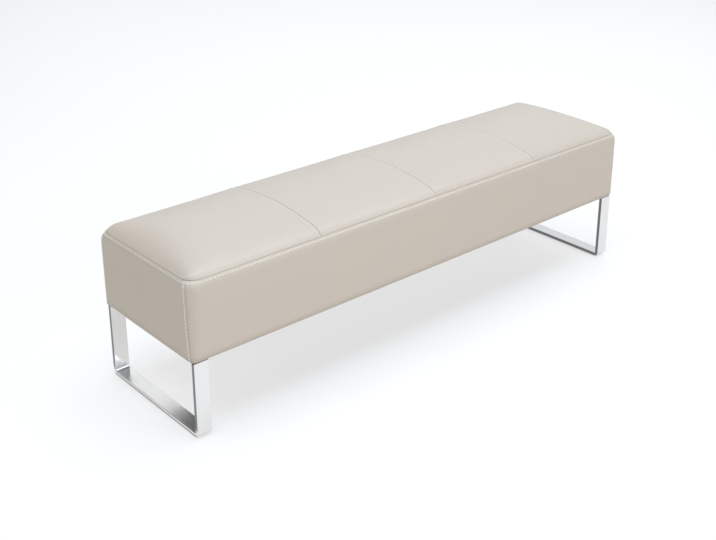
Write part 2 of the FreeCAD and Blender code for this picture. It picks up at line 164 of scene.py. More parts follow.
def spline_weights(places: np.ndarray, length: float, count: int) -> np.ndarray:
    """Weights that carry evenly spaced values to other places along a length, with no creases between them.

    Args:
        places: Where values are wanted, from 0 to the length.
        length: The length that the even values span.
        count: How many even values there are.

    Returns:
        A matrix with a row for each place and a column for each even value.
    """
    share = np.asarray(places) / length * (count - 1)
    base = np.clip(np.floor(share).astype(int), 0, count - 2)
    part = share - base
    terms = [
        (1 - part) ** 3,
        3 * part ** 3 - 6 * part ** 2 + 4,
        -3 * part ** 3 + 3 * part ** 2 + 3 * part + 1,
        part ** 3,
    ]
    weights = np.zeros((len(share), count))
    rows = np.arange(len(share))
    for offset, term in enumerate(terms):
        np.add.at(weights, (rows, np.clip(base + offset - 1, 0, count - 1)), term / 6)
    return weights


def between(stations: np.ndarray, place: float, grid: np.ndarray) -> np.ndarray:
    """The line of a grid at a place between two of its stations.

    Args:
        stations: Where the grid's lines stand.
        place: Where a line is wanted.
        grid: The lines, one for each station.

    Returns:
        The line there.
    """
    high = int(np.searchsorted(stations, place))
    share = (place - stations[high - 1]) / (stations[high] - stations[high - 1])
    return grid[high - 1] * (1 - share) + grid[high] * share


def uneven(
    rng: np.random.Generator,
    u: np.ndarray,
    v: np.ndarray,
    cell: float,
    swing: float = 1.7,
    spare: int = 3,
) -> np.ndarray:
    """A smooth uneven field over a grid, about -1 to 1.

    Args:
        rng: The seeded source of the unevenness.
        u: Stations along the grid, from 0.
        v: Stations across the grid, from 0.
        cell: The size of one swell of the field.
        swing: The most that the field's rough values differ from 0, before they are smoothed.
        spare: How many more rough values there are each way than cells.

    Returns:
        The field at every station.
    """
    counts = [max(math.ceil(each[-1] / cell), 1) + spare for each in (u, v)]
    rough = rng.uniform(-swing, swing, counts)
    return spline_weights(u, u[-1], counts[0]) @ rough @ spline_weights(v, v[-1], counts[1]).T


def grid_normals(points: np.ndarray) -> np.ndarray:
    """Unit normals of a grid of points, by the cross product of its two directions.

    Args:
        points: The grid.

    Returns:
        Its normals.
    """
    along = np.gradient(points, axis=0)
    across = np.gradient(points, axis=1)
    normals = np.cross(along, across)
    return normals / np.maximum(np.linalg.norm(normals, axis=2, keepdims=True), TINY)


def mesh_object(name: str, points: np.ndarray, faces: np.ndarray, smooth: bool = True) -> bpy.types.Object:
    """A new object with a mesh of its own.

    Args:
        name: The piece's name.
        points: Its vertices.
        faces: Its faces, as rows of vertex numbers.
        smooth: Whether the faces are shaded smooth.

    Returns:
        The object, linked to the scene.
    """
    mesh = bpy.data.meshes.new(name)
    mesh.from_pydata(points.tolist(), [], faces.tolist())
    if smooth:
        mesh.shade_smooth()
    else:
        mesh.shade_flat()
    mesh.update()
    item = bpy.data.objects.new(name, mesh)
    bpy.context.scene.collection.objects.link(item)
    return item


def grid_faces(rows: int, columns: int, first: int = 0) -> np.ndarray:
    """The quads of a grid of vertices.

    Args:
        rows: Vertices along the grid.
        columns: Vertices across it.
        first: The number of its first vertex.

    Returns:
        The quads, wound so that the grid's normals point out of them.
    """
    index = np.arange(rows * columns).reshape(rows, columns) + first
    corners = [index[:-1, :-1], index[1:, :-1], index[1:, 1:], index[:-1, 1:]]
    return np.stack(corners, axis=-1).reshape(-1, 4)


def shell(name: str, outer: np.ndarray, inner: np.ndarray) -> bpy.types.Object:
    """A closed piece between two grids of the same shape.

    Args:
        name: The piece's name.
        outer: The grid that faces out.
        inner: The grid behind it.

    Returns:
        The piece, its vertices in the order of the outer grid and then the inner one.
    """
    rows, columns = outer.shape[:2]
    half = rows * columns
    index = np.arange(half).reshape(rows, columns)
    rim = np.concatenate([index[:, 0], index[-1, 1:], index[-2::-1, -1], index[0, -2:0:-1]])
    following = np.roll(rim, -1)
    walls = np.stack([following, rim, rim + half, following + half], axis=-1)
    back = grid_faces(rows, columns, half)[:, ::-1]
    points = np.concatenate([outer.reshape(-1, 3), inner.reshape(-1, 3)])
    return mesh_object(name, points, np.concatenate([grid_faces(rows, columns), back, walls]))


def set_attribute(item: bpy.types.Object, name: str, values: np.ndarray) -> None:
    """Store one number for each vertex of a piece, for its finish to read."""
    attribute = item.data.attributes.new(name, "FLOAT", "POINT")
    attribute.data.foreach_set("value", np.ascontiguousarray(values, np.float32).ravel())


# Node trees and finishes


class NodeTree:
    """A node tree, with short ways to add nodes to it."""

    def __init__(self, tree: bpy.types.NodeTree) -> None:
        """Work on a tree."""
        self.tree = tree

    def add(self, kind: str, inputs: dict[Any, Any] | None = None, **settings: Any) -> bpy.types.Node:
        """Add a node, set its own properties and feed its inputs.

        Args:
            kind: The node's type.
            inputs: Sockets or constants by input name or number.
            settings: The node's own properties.

        Returns:
            The node.
        """
        node = self.tree.nodes.new(kind)
        for key, value in settings.items():
            setattr(node, key, value)
        for key, value in (inputs or {}).items():
            self.feed(node.inputs[key], value)
        return node

    def feed(self, socket: Socket, value: Any) -> None:
        """Link a socket to another, or set its constant.

        Args:
            socket: The input to feed.
            value: The output to link it to, or its constant.
        """
        if isinstance(value, Socket):
            self.tree.links.new(value, socket)
        else:
            socket.default_value = value

    def math(self, operation: str, first: Any, second: Any = 0.0) -> Socket:
        """One sum of two values, or of the first alone."""
        return self.add("ShaderNodeMath", {0: first, 1: second}, operation=operation).outputs["Value"]


class Canvas(NodeTree):
    """A material's node tree, with the nodes that the finishes use."""

    def __init__(self, name: str) -> None:
        """Start a material with one shader and its object coordinates.

        Args:
            name: The material's name.
        """
        self.material = bpy.data.materials.new(name)
        self.material.use_nodes = True
        super().__init__(self.material.node_tree)
        self.tree.nodes.clear()
        self.shader = self.add("ShaderNodeBsdfPrincipled")
        self.add("ShaderNodeOutputMaterial", {"Surface": self.shader.outputs["BSDF"]})
        self.place = self.add("ShaderNodeTexCoord").outputs["Object"]

    def set(self, **values: Any) -> None:
        """Set the shader's sockets.

        Args:
            values: Outputs, colours or constants by socket name, with underscores for spaces.
        """
        for key, value in values.items():
            colour = isinstance(value, tuple)
            self.feed(self.shader.inputs[key.replace("_", " ")], (*value, 1.0) if colour else value)

    def scaled(self, scale: Place) -> Socket:
        """Object coordinates stretched by a factor along each axis."""
        return self.add("ShaderNodeMapping", {"Vector": self.place, "Scale": scale}).outputs["Vector"]

    def noise(self, scale: float, detail: float = 2.0, vector: Any = None) -> Socket:
        """Fractal noise, 0 to 1.

        Args:
            scale: How many swells it has to a metre.
            detail: How many finer layers it has.
            vector: The coordinates that it reads, the object's own if none are given.

        Returns:
            The noise.
        """
        read = self.place if vector is None else vector
        inputs = {"Vector": read, "Scale": scale, "Detail": detail}
        return self.add("ShaderNodeTexNoise", inputs).outputs["Fac"]

    def cells(self, scale: float, feature: str = "F1") -> Socket:
        """Cell noise: distance to the nearest cell's centre or edge."""
        inputs = {"Vector": self.place, "Scale": scale}
        return self.add("ShaderNodeTexVoronoi", inputs, feature=feature).outputs["Distance"]

    def attribute(self, name: str) -> Socket:
        """A number stored on the piece's vertices."""
        return self.add("ShaderNodeAttribute", attribute_name=name).outputs["Fac"]

    def split(self, vector: Socket) -> Any:
        """The X, Y and Z parts of a vector, as sockets by those names."""
        return self.add("ShaderNodeSeparateXYZ", {"Vector": vector}).outputs

    def span(self, value: Any, low: float, high: float, to_low: float, to_high: float) -> Socket:
        """Carry one range of values to another, held at its ends.

        Args:
            value: The value to carry.
            low: Where its range starts.
            high: Where its range ends.
            to_low: What the start becomes.
            to_high: What the end becomes.

        Returns:
            The carried value.
        """
        inputs = {"Value": value, "From Min": low, "From Max": high, "To Min": to_low, "To Max": to_high}
        return self.add("ShaderNodeMapRange", inputs).outputs["Result"]

    def blend(self, share: Any, first: Any, second: Any) -> Socket:
        """Mix two colours.

        Args:
            share: How much of the second colour there is, 0 to 1.
            first: A colour, or a socket that gives one.
            second: The other colour.

        Returns:
            The mixed colour.
        """
        node = self.add("ShaderNodeMix", {"Factor": share}, data_type="RGBA")
        for name, value in (("A", first), ("B", second)):
            socket = next(each for each in node.inputs if each.name == name and each.type == "RGBA")
            self.feed(socket, (*value, 1.0) if isinstance(value, tuple) else value)
        return next(each for each in node.outputs if each.type == "RGBA")

    def bump(self, height: Any, distance: float, strength: float = 1.0, under: Any = None) -> Socket:
        """Normals of a height, over other bumps if there are any.

        Args:
            height: The height, 0 to 1.
            distance: How many metres the whole height stands for.
            strength: How much of it shows.
            under: Normals of a bump that this one lies on.

        Returns:
            The normals.
        """
        inputs = {"Height": height, "Distance": distance, "Strength": strength}
        if under is not None:
            inputs["Normal"] = under
        return self.add("ShaderNodeBump", inputs).outputs["Normal"]


@dataclass(frozen=True)
class Leatherette:
    """Coated cover cloth: a warm light grey with a fine pebble grain.

    It carries painted shade in its seams and along its bottom fold, and is polished where it is sat on.
    Scales are in swells a metre.
    """

    colour: Colour = (0.580, 0.497, 0.400)
    cool: Colour = (0.565, 0.491, 0.404)
    mottle: Colour = (0.44, 0.375, 0.295)
    # Colour of the painted shade in the seams and along the bottom fold
    crease: Colour = (0.40, 0.333, 0.258)
    cloud_scale: float = 4.0
    patch_scale: float = 28.0
    mottle_scale: float = 90.0
    pore_scale: float = 2600.0
    mottle_share: float = 0.10
    grain: float = 0.0011
    grain_depth: float = 0.00007
    pore_depth: float = 0.00006
    roughness: float = 0.48
    patchiness: float = 0.035
    polish: float = 0.04
    specular: float = 0.33
    coat: float = 0.08
    coat_roughness: float = 0.35

    def make(self) -> bpy.types.Material:
        """Build the material.

        Returns:
            The material, which reads the cover's painted_shade and handled values.
        """
        canvas = Canvas("leatherette")
        clouds = canvas.span(canvas.noise(self.cloud_scale, detail=3.0), 0.3, 0.7, 0.0, 1.0)
        colour = canvas.blend(clouds, self.colour, self.cool)
        blots = canvas.noise(self.mottle_scale, detail=4.0)
        mottled = canvas.span(blots, 0.25, 0.75, 0.0, self.mottle_share)
        colour = canvas.blend(mottled, colour, self.mottle)
        # Painted shade: darker in the seams' grooves and along the cover's bottom fold
        colour = canvas.blend(canvas.attribute("painted_shade"), colour, self.crease)
        pebbles = canvas.span(canvas.cells(1.0 / self.grain, "DISTANCE_TO_EDGE"), 0.0, 0.28, 0.0, 1.0)
        grain = canvas.bump(pebbles, self.grain_depth, strength=0.55)
        pores = canvas.noise(self.pore_scale, detail=3.0)
        normal = canvas.bump(pores, self.pore_depth, strength=0.35, under=grain)
        smoothest = self.roughness - self.patchiness
        roughest = self.roughness + self.patchiness
        patchy = canvas.span(canvas.noise(self.patch_scale, detail=3.0), 0.3, 0.7, smoothest, roughest)
        polished = canvas.math("MULTIPLY", canvas.attribute("handled"), self.polish)
        canvas.set(Base_Color=colour, Roughness=canvas.math("SUBTRACT", patchy, polished), Normal=normal)
        canvas.set(Specular_IOR_Level=self.specular)
        canvas.set(Coat_Weight=self.coat, Coat_Roughness=self.coat_roughness)
        return canvas.material


@dataclass(frozen=True)
class Thread:
    """Heavy bonded thread, off-white, with its twist."""

    colour: Colour = (0.87, 0.825, 0.735)
    shade: Colour = (0.68, 0.635, 0.555)
    twist_scale: float = 700.0
    twist_bend: float = 1.5
    twist_depth: float = 0.0002
    roughness: float = 0.5
    sheen: float = 0.2

    def make(self) -> bpy.types.Material:
        """Build the material.

        Returns:
            The material.
        """
        canvas = Canvas("thread")
        inputs = {"Vector": canvas.place, "Scale": self.twist_scale, "Distortion": self.twist_bend}
        twist = canvas.add("ShaderNodeTexWave", inputs, wave_type="BANDS", bands_direction="DIAGONAL")
        strands = twist.outputs["Fac"]
        shaded = canvas.span(strands, 0.0, 0.6, 0.5, 0.0)
        canvas.set(Base_Color=canvas.blend(shaded, self.colour, self.shade))
        canvas.set(Normal=canvas.bump(strands, self.twist_depth, strength=0.5))
        canvas.set(Roughness=self.roughness, Sheen_Weight=self.sheen)
        return canvas.material


@dataclass(frozen=True)
class Chrome:
    """Bright plated flat bar with faint drawn lines along it.

    The uprights' side edges and the floor runs' inner sides carry a painted dark reflection, and the rim at
    the floor a painted contact shadow; all of these are rougher too. The tops of the floor runs are rougher
    than the uprights and carry a painted darker reflection.
    """

    colour: Colour = (0.815, 0.80, 0.775)
    drawn: Colour = (0.62, 0.625, 0.63)
    # Painted darker reflection on the tops of the floor runs
    run_top_painted_reflection: Colour = (0.68, 0.675, 0.66)
    # Colour of the painted dark reflections and of the painted contact shadow at the floor
    edge: Colour = (0.20, 0.20, 0.205)
    line_scale: Place = (900.0, 5.0, 5.0)
    line_depth: float = 0.00002
    haze_scale: float = 14.0
    roughness: float = 0.13
    line_smoothing: float = 0.035
    line_dulling: float = 0.05
    haze_dulling: float = 0.05
    edge_dulling: float = 0.2
    run_dulling: float = 0.08
    run_top: float = 0.016
    run_fade: float = 0.012
    inner_side: float = 0.720
    inner_low: float = 0.0015
    inner_high: float = 0.0025
    # Height, fade and strength of the painted contact shadow along the foot of the bars
    rim_top: float = 0.0078
    rim_fade: float = 0.001
    rim_painted_shadow: float = 0.85
    upright_y: float = 0.1815
    upright_fade: float = 0.0005

    def make(self) -> bpy.types.Material:
        """Build the material.

        Returns:
            The material.
        """
        canvas = Canvas("chrome")
        lines = canvas.noise(1.0, detail=3.0, vector=canvas.scaled(self.line_scale))
        facing = canvas.split(canvas.add("ShaderNodeNewGeometry").outputs["Normal"])
        place = canvas.split(canvas.place)
        run_end = self.run_top + self.run_fade

        # Where the bar carries painted dark reflections on its side edges and a painted contact shadow at
        # the floor
        endwise = canvas.span(canvas.math("ABSOLUTE", facing["X"]), 0.55, 0.85, 0.0, 1.0)
        above = canvas.span(place["Z"], self.run_top, run_end, 0.0, 1.0)
        aside = canvas.math("ABSOLUTE", place["Y"])
        aside = canvas.span(aside, self.upright_y - self.upright_fade, self.upright_y, 0.0, 1.0)
        upright = canvas.math("MULTIPLY", above, aside)
        inner = canvas.math("ABSOLUTE", place["X"])
        inner_low, inner_high = self.inner_side + self.inner_low, self.inner_side + self.inner_high
        inner = canvas.span(inner, inner_low, inner_high, 1.0, 0.0)
        edge = canvas.math("MULTIPLY", endwise, canvas.math("MAXIMUM", upright, inner))
        rim_low, rim_high = self.rim_top - self.rim_fade, self.rim_top + self.rim_fade
        rim = canvas.span(place["Z"], rim_low, rim_high, self.rim_painted_shadow, 0.0)
        edge = canvas.math("MAXIMUM", edge, rim)

        # Where the floor runs' tops are rougher and carry a painted darker reflection
        facing_up = canvas.span(facing["Z"], 0.5, 0.8, 0.0, 1.0)
        run = canvas.math("MULTIPLY", facing_up, canvas.span(place["Z"], self.run_top, run_end, 1.0, 0.0))

        bright = canvas.blend(canvas.span(lines, 0.3, 0.7, 0.0, 0.35), self.colour, self.drawn)
        bright = canvas.blend(run, bright, self.run_top_painted_reflection)
        canvas.set(Base_Color=canvas.blend(edge, bright, self.edge), Metallic=1.0)
        smoothest, roughest = self.roughness - self.line_smoothing, self.roughness + self.line_dulling
        streaks = canvas.span(lines, 0.3, 0.75, smoothest, roughest)
        haze = canvas.span(canvas.noise(self.haze_scale, detail=3.0), 0.5, 0.8, 0.0, self.haze_dulling)
        edge_dull = canvas.math("MULTIPLY", edge, self.edge_dulling)
        run_dull = canvas.math("MULTIPLY", run, self.run_dulling)
        dulled = canvas.math("MAXIMUM", edge_dull, run_dull)
        canvas.set(Roughness=canvas.math("ADD", canvas.math("ADD", streaks, haze), dulled))
        canvas.set(Normal=canvas.bump(lines, self.line_depth, strength=0.25))
        return canvas.material


@dataclass(frozen=True)
class ZincSteel:
    """Zinc plated hardware, dull and cloudy."""

    colour: Colour = (0.60, 0.61, 0.62)
    cloud: Colour = (0.47, 0.47, 0.455)
    cloud_scale: float = 240.0
    patch_scale: float = 500.0
    pit_scale: float = 1800.0
    pit_depth: float = 0.00003

    def make(self) -> bpy.types.Material:
        """Build the material.

        Returns:
            The material.
        """
        canvas = Canvas("zinc_steel")
        clouds = canvas.span(canvas.noise(self.cloud_scale, detail=3.0), 0.35, 0.65, 0.0, 1.0)
        canvas.set(Base_Color=canvas.blend(clouds, self.colour, self.cloud), Metallic=1.0)
        canvas.set(Roughness=canvas.span(canvas.noise(self.patch_scale), 0.3, 0.7, 0.26, 0.42))
        canvas.set(Normal=canvas.bump(canvas.noise(self.pit_scale), self.pit_depth, strength=0.4))
        return canvas.material


@dataclass(frozen=True)
class Nylon:
    """Moulded dark plastic with a fine spark texture and pale scuffs."""

    colour: Colour = (0.022, 0.022, 0.023)
    scuff: Colour = (0.075, 0.073, 0.07)
    scuff_scale: float = 420.0
    patch_scale: float = 300.0
    spark_scale: float = 2500.0
    spark_depth: float = 0.00005

    def make(self) -> bpy.types.Material:
        """Build the material.

        Returns:
            The material.
        """
        canvas = Canvas("nylon")
        scuffs = canvas.span(canvas.noise(self.scuff_scale, detail=5.0), 0.60, 0.75, 0.0, 0.5)
        canvas.set(Base_Color=canvas.blend(scuffs, self.colour, self.scuff))
        canvas.set(Roughness=canvas.span(canvas.noise(self.patch_scale), 0.3, 0.7, 0.42, 0.6))
        canvas.set(Normal=canvas.bump(canvas.noise(self.spark_scale), self.spark_depth, strength=0.5))
        return canvas.material


@dataclass(frozen=True)
class DustCloth:
    """Black spun-bonded cloth: crossing fibres and small pressed points."""

    colour: Colour = (0.014, 0.014, 0.015)
    fibre: Colour = (0.05, 0.05, 0.052)
    along_scale: Place = (180.0, 1400.0, 600.0)
    across_scale: Place = (1400.0, 180.0, 600.0)
    point_pitch: float = 0.0025
    depth: float = 0.0003
    roughness: float = 0.85
    sheen: float = 0.3
    sheen_roughness: float = 0.5

    def make(self) -> bpy.types.Material:
        """Build the material.

        Returns:
            The material.
        """
        canvas = Canvas("dust_cloth")
        along = canvas.noise(1.0, detail=4.0, vector=canvas.scaled(self.along_scale))
        across = canvas.noise(1.0, detail=4.0, vector=canvas.scaled(self.across_scale))
        points = canvas.span(canvas.cells(1.0 / self.point_pitch), 0.10, 0.28, 0.0, 1.0)
        cloth = canvas.math("MULTIPLY", canvas.math("MAXIMUM", along, across), points)
        pale = canvas.span(cloth, 0.35, 0.75, 0.0, 1.0)
        canvas.set(Base_Color=canvas.blend(pale, self.colour, self.fibre))
        canvas.set(Normal=canvas.bump(cloth, self.depth, strength=0.7), Roughness=self.roughness)
        canvas.set(Sheen_Weight=self.sheen, Sheen_Roughness=self.sheen_roughness)
        return canvas.material


@dataclass(frozen=True)
class CutFoam:
    """Cut polyurethane foam: open cells on a pale yellow."""

    name: str
    colour: Colour
    aged: Colour = (0.80, 0.72, 0.50)
    cell: float = 0.0016
    cell_depth: float = 0.0005
    cell_shade: float = 0.72
    patch_scale: float = 12.0
    roughness: float = 0.9

    def make(self) -> bpy.types.Material:
        """Build the material.

        Returns:
            The material.
        """
        canvas = Canvas(self.name)
        cells = canvas.cells(1.0 / self.cell)
        dark = tuple(self.cell_shade * each for each in self.colour)
        base = canvas.blend(canvas.span(cells, 0.05, 0.45, 0.55, 0.0), self.colour, dark)
        patches = canvas.span(canvas.noise(self.patch_scale, detail=3.0), 0.3, 0.7, 0.0, 0.35)
        canvas.set(Base_Color=canvas.blend(patches, base, self.aged), Roughness=self.roughness)
        canvas.set(Normal=canvas.bump(cells, self.cell_depth, strength=0.7))
        return canvas.material


@dataclass(frozen=True)
class Wadding:
    """White polyester fibre with loose strands."""

    colour: Colour = (0.84, 0.84, 0.82)
    shade: Colour = (0.66, 0.66, 0.65)
    strand_scale: float = 160.0
    strand_stretch: Place = (1.0, 2.6, 1.0)
    strand_depth: float = 0.0012
    tuft_scale: float = 35.0
    tuft_depth: float = 0.004
    roughness: float = 0.95
    sheen: float = 0.3

    def make(self) -> bpy.types.Material:
        """Build the material.

        Returns:
            The material.
        """
        canvas = Canvas("wadding")
        strands = canvas.noise(self.strand_scale, detail=6.0, vector=canvas.scaled(self.strand_stretch))
        shaded = canvas.span(strands, 0.3, 0.7, 0.4, 0.0)
        tufts = canvas.bump(canvas.noise(self.tuft_scale, detail=3.0), self.tuft_depth, strength=0.5)
        canvas.set(Base_Color=canvas.blend(shaded, self.colour, self.shade), Roughness=self.roughness)
        canvas.set(Normal=canvas.bump(strands, self.strand_depth, strength=0.8, under=tufts))
        canvas.set(Sheen_Weight=self.sheen)
        return canvas.material


@dataclass(frozen=True)
class Board:
    """Planed softwood or sanded plywood: growth rings, fine grain lines and, in plywood, its plies."""

    name: str
    grain: Grain
    early: Colour = (0.60, 0.41, 0.22)
    late: Colour = (0.36, 0.20, 0.085)
    ring: float = 0.006
    ply: float = 0.0
    ring_spread: float = 6.3
    ring_stretch: float = 0.06
    ring_wander: float = 5.0
    line_stretch: float = 0.02
    line_scale: float = 900.0
    line_depth: float = 0.0002

    def stretched(self, factor: float) -> Place:
        """Scales that draw a pattern out along the grain."""
        return tuple(factor if axis == self.grain.value else 1.0 for axis in range(3))

    def make(self) -> bpy.types.Material:
        """Build the material.

        Returns:
            The material.
        """
        canvas = Canvas(self.name)
        inputs = {
            "Vector": canvas.scaled(self.stretched(self.ring_stretch)),
            "Scale": 1.0 / self.ring / self.ring_spread,
            "Distortion": self.ring_wander,
            "Detail": 2.0,
            "Detail Scale": 1.2,
        }
        bands = {"wave_type": "BANDS", "bands_direction": "DIAGONAL", "wave_profile": "SAW"}
        rings = canvas.add("ShaderNodeTexWave", inputs, **bands).outputs["Fac"]
        drawn_out = canvas.scaled(self.stretched(self.line_stretch))
        lines = canvas.noise(self.line_scale, detail=3.0, vector=drawn_out)
        colour = canvas.blend(canvas.span(rings, 0.55, 1.0, 0.0, 0.75), self.early, self.late)
        colour = canvas.blend(canvas.span(lines, 0.35, 0.7, 0.0, 0.35), colour, self.late)
        if self.ply:
            layer = canvas.math("PINGPONG", canvas.split(canvas.place)["Z"], self.ply)
            glued = canvas.span(layer, 0.45 * self.ply, 0.55 * self.ply, 0.0, 0.4)
            colour = canvas.blend(glued, colour, self.late)
        canvas.set(Base_Color=colour, Roughness=canvas.span(lines, 0.3, 0.7, 0.55, 0.75))
        canvas.set(Normal=canvas.bump(lines, self.line_depth, strength=0.5))
        return canvas.material


@dataclass(frozen=True)
class PaleFloor:
    """The studio's plain pale floor, a translucent sheet lit a little from below."""

    colour: Colour = (0.345, 0.345, 0.345)
    cloud: Colour = (0.335, 0.335, 0.335)
    cloud_scale: float = 0.7
    roughness: float = 0.6
    specular: float = 0.2
    glow: float = 0.635
    glow_colour: Colour = (1.0, 0.995, 0.985)

    def make(self) -> bpy.types.Material:
        """Build the material.

        Returns:
            The material.
        """
        canvas = Canvas("pale_floor")
        clouds = canvas.span(canvas.noise(self.cloud_scale, detail=2.0), 0.3, 0.7, 0.0, 1.0)
        canvas.set(Base_Color=canvas.blend(clouds, self.colour, self.cloud), Roughness=self.roughness)
        canvas.set(Specular_IOR_Level=self.specular)
        canvas.set(Emission_Color=self.glow_colour, Emission_Strength=self.glow)
        return canvas.material


class Palette:
    """Every finish of the bench, made once and found by the record's slot names."""

    def __init__(self) -> None:
        """Make the materials."""
        self.slots: dict[str, bpy.types.Material] = {
            "leatherette": Leatherette().make(),
            "side_foam": CutFoam("side_foam", (0.74, 0.66, 0.42)).make(),
            "seat_foam": CutFoam("seat_foam", (0.78, 0.71, 0.48)).make(),
            "wadding": Wadding().make(),
            "plywood": Board(
                "plywood",
                Grain.ALONG_X,
                early=(0.56, 0.39, 0.21),
                late=(0.40, 0.25, 0.12),
                ring=0.014,
                ply=0.0024,
            ).make(),
            "dust_cloth": DustCloth().make(),
            "zinc_steel": ZincSteel().make(),
            "chrome": Chrome().make(),
            "nylon": Nylon().make(),
        }
        self.pine = {grain: Board(f"pine_{grain.name.lower()}", grain).make() for grain in Grain}
        self.thread = Thread().make()

    def for_node(self, node: str, slot: str) -> bpy.types.Material:
        """The finish of a CAD node, with wood grain along the node's longest side.

        Args:
            node: The node's name.
            slot: Its material slot in the record.

        Returns:
            The material.
        """
        if slot != "pine":
            return self.slots[slot]
        low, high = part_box(node)
        sides = list(high - low)
        return self.pine[Grain(sides.index(max(sides)))]


def dress(item: bpy.types.Object, material: bpy.types.Material) -> None:
    """Give a piece one finish all over."""
    item.data.materials.clear()
    item.data.materials.append(material)


# The seat's form


@dataclass(frozen=True)
class SeatForm:
    """Sizes of the seat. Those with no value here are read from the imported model."""

    seam_z: float
    underside_z: float
    crown: float
    seam_half_length: float
    seam_half_width: float
    bulge: float
    core_half_length: float
    core_half_width: float
    deck_top: float
    cross_seams: tuple[float, ...]
    fullest: float = 0.85
    shoulder_power: float = 3.0
    foot_out: float = 0.0055
    roll: float = 0.014
    roll_depth: float = 0.0085
    flange: float = 0.015
    corner: float = 0.037
    wall_corner: float = 0.029
    foot_corner: float = 0.019
    flange_corner: float = 0.004
    seam_turn: float = math.radians(28.0)
    end_reach: float = 0.094
    end_power: float = 2.4
    corner_fullness: float = 3.0
    crown_edge_radius: float = 0.045
    crown_edge_angle: float = math.radians(55.0)
    channel_depth: float = 0.0009
    channel_half_width: float = 0.018
    cover: float = 0.0013
    gap: float = 0.0004
    foam_depth: float = 0.013

    @classmethod
    def from_frame(cls) -> "SeatForm":
        """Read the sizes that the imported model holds.

        Returns:
            The seat's form.
        """
        boxing_low, boxing_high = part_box("front_boxing")
        first_low, first_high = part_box("top_panel_1")
        crown_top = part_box("top_panel_2")[1].z
        deck_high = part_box("seat_deck")[1]
        seams = tuple(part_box(f"top_panel_{number}")[1].x for number in (1, 2, 3))
        return cls(
            seam_z=boxing_high.z - SEAM_DROP,
            underside_z=boxing_low.z,
            crown=crown_top - boxing_high.z + SEAM_DROP,
            seam_half_length=-first_low.x - SEAM_INSET,
            seam_half_width=first_high.y - SEAM_INSET,
            bulge=SEAM_INSET - boxing_low.y - first_high.y,
            core_half_length=deck_high.x,
            core_half_width=deck_high.y,
            deck_top=deck_high.z,
            cross_seams=seams,
        )

    def rise(self, inward: np.ndarray) -> np.ndarray:
        """The crown's height as a share of its full height, by the distance in from the perimeter seam.

        A tight arc at the edge runs into a wide arc over the middle.

        Args:
            inward: Distances in from the seam at the front or the back.

        Returns:
            The shares.
        """
        radius, angle, reach = self.crown_edge_radius, self.crown_edge_angle, self.seam_half_width
        edge_y = reach - radius * math.sin(angle)
        edge_z = -radius * math.cos(angle)
        lift = self.crown - edge_z
        wide = (edge_y ** 2 + lift ** 2 - radius ** 2) / (2 * (lift - radius))
        meet = wide * math.sin(math.atan2(edge_y, wide - lift))
        y = reach - np.clip(inward, 0.0, reach)
        tight_arc = edge_z + np.sqrt(np.maximum(radius ** 2 - (y - edge_y) ** 2, 0.0))
        wide_arc = self.crown - wide + np.sqrt(wide ** 2 - np.minimum(y, meet) ** 2)
        return np.where(y > meet, tight_arc, wide_arc) / self.crown

    def crown_height(self, inward_x: np.ndarray, inward_y: np.ndarray) -> np.ndarray:
        """The crown's height over the perimeter seam, full towards its corners.

        Args:
            inward_x: Distances in from the end of the seat.
            inward_y: Distances in from its front or back.

        Returns:
            The heights.
        """
        end = np.maximum(self.rise_at_end(inward_x), LEAST_RISE)
        side = np.maximum(self.rise(inward_y), LEAST_RISE)
        power = self.corner_fullness
        lower = (end ** power + side ** power - (end * side) ** power) ** (1 / power)
        return self.crown * end * side / lower

    def rise_at_end(self, inward: np.ndarray) -> np.ndarray:
        """The crown's height as a share of its full height, by the distance in from the end of the seat."""
        return 1 - np.clip(1 - inward / self.end_reach, 0.0, 1.0) ** self.end_power


@dataclass
class SeamField:
    """How far each point of a panel lies from one seam, and how that seam draws it."""

    distance: np.ndarray
    pull: np.ndarray
    strength: np.ndarray
    topstitched: bool = False
    # Strength of the painted shade along this seam
    shade: float = 0.3


@dataclass(frozen=True)
class SeamStyle:
    """Sizes of a sewn seam: its groove, the raised allowance beside it and the row of topstitches."""

    groove_depth: float = 0.0007
    groove_half_width: float = 0.0018
    allowance_rise: float = 0.0007
    row_offset: float = 0.0060
    row_depth: float = 0.0005
    row_half_width: float = 0.0018
    # Width of the painted shade along a seam
    shade_width: float = 0.0011
    fade: float = 0.006
    crest_share: float = 0.55
    slope_reach: float = 3.0

    def allowance(self, distance: np.ndarray) -> np.ndarray:
        """Height of the cover beside a topstitched seam, over where it would lie.

        Args:
            distance: Distances from the seam.

        Returns:
            The heights.
        """
        crest = self.crest_share * self.row_offset
        beyond = (distance - crest) / (self.slope_reach * self.row_offset)
        raised = smooth_step(distance / crest) * (1 - smooth_step(beyond))
        drawn = np.exp(-((distance - self.row_offset) / self.row_half_width) ** 2)
        return self.allowance_rise * raised - self.row_depth * drawn


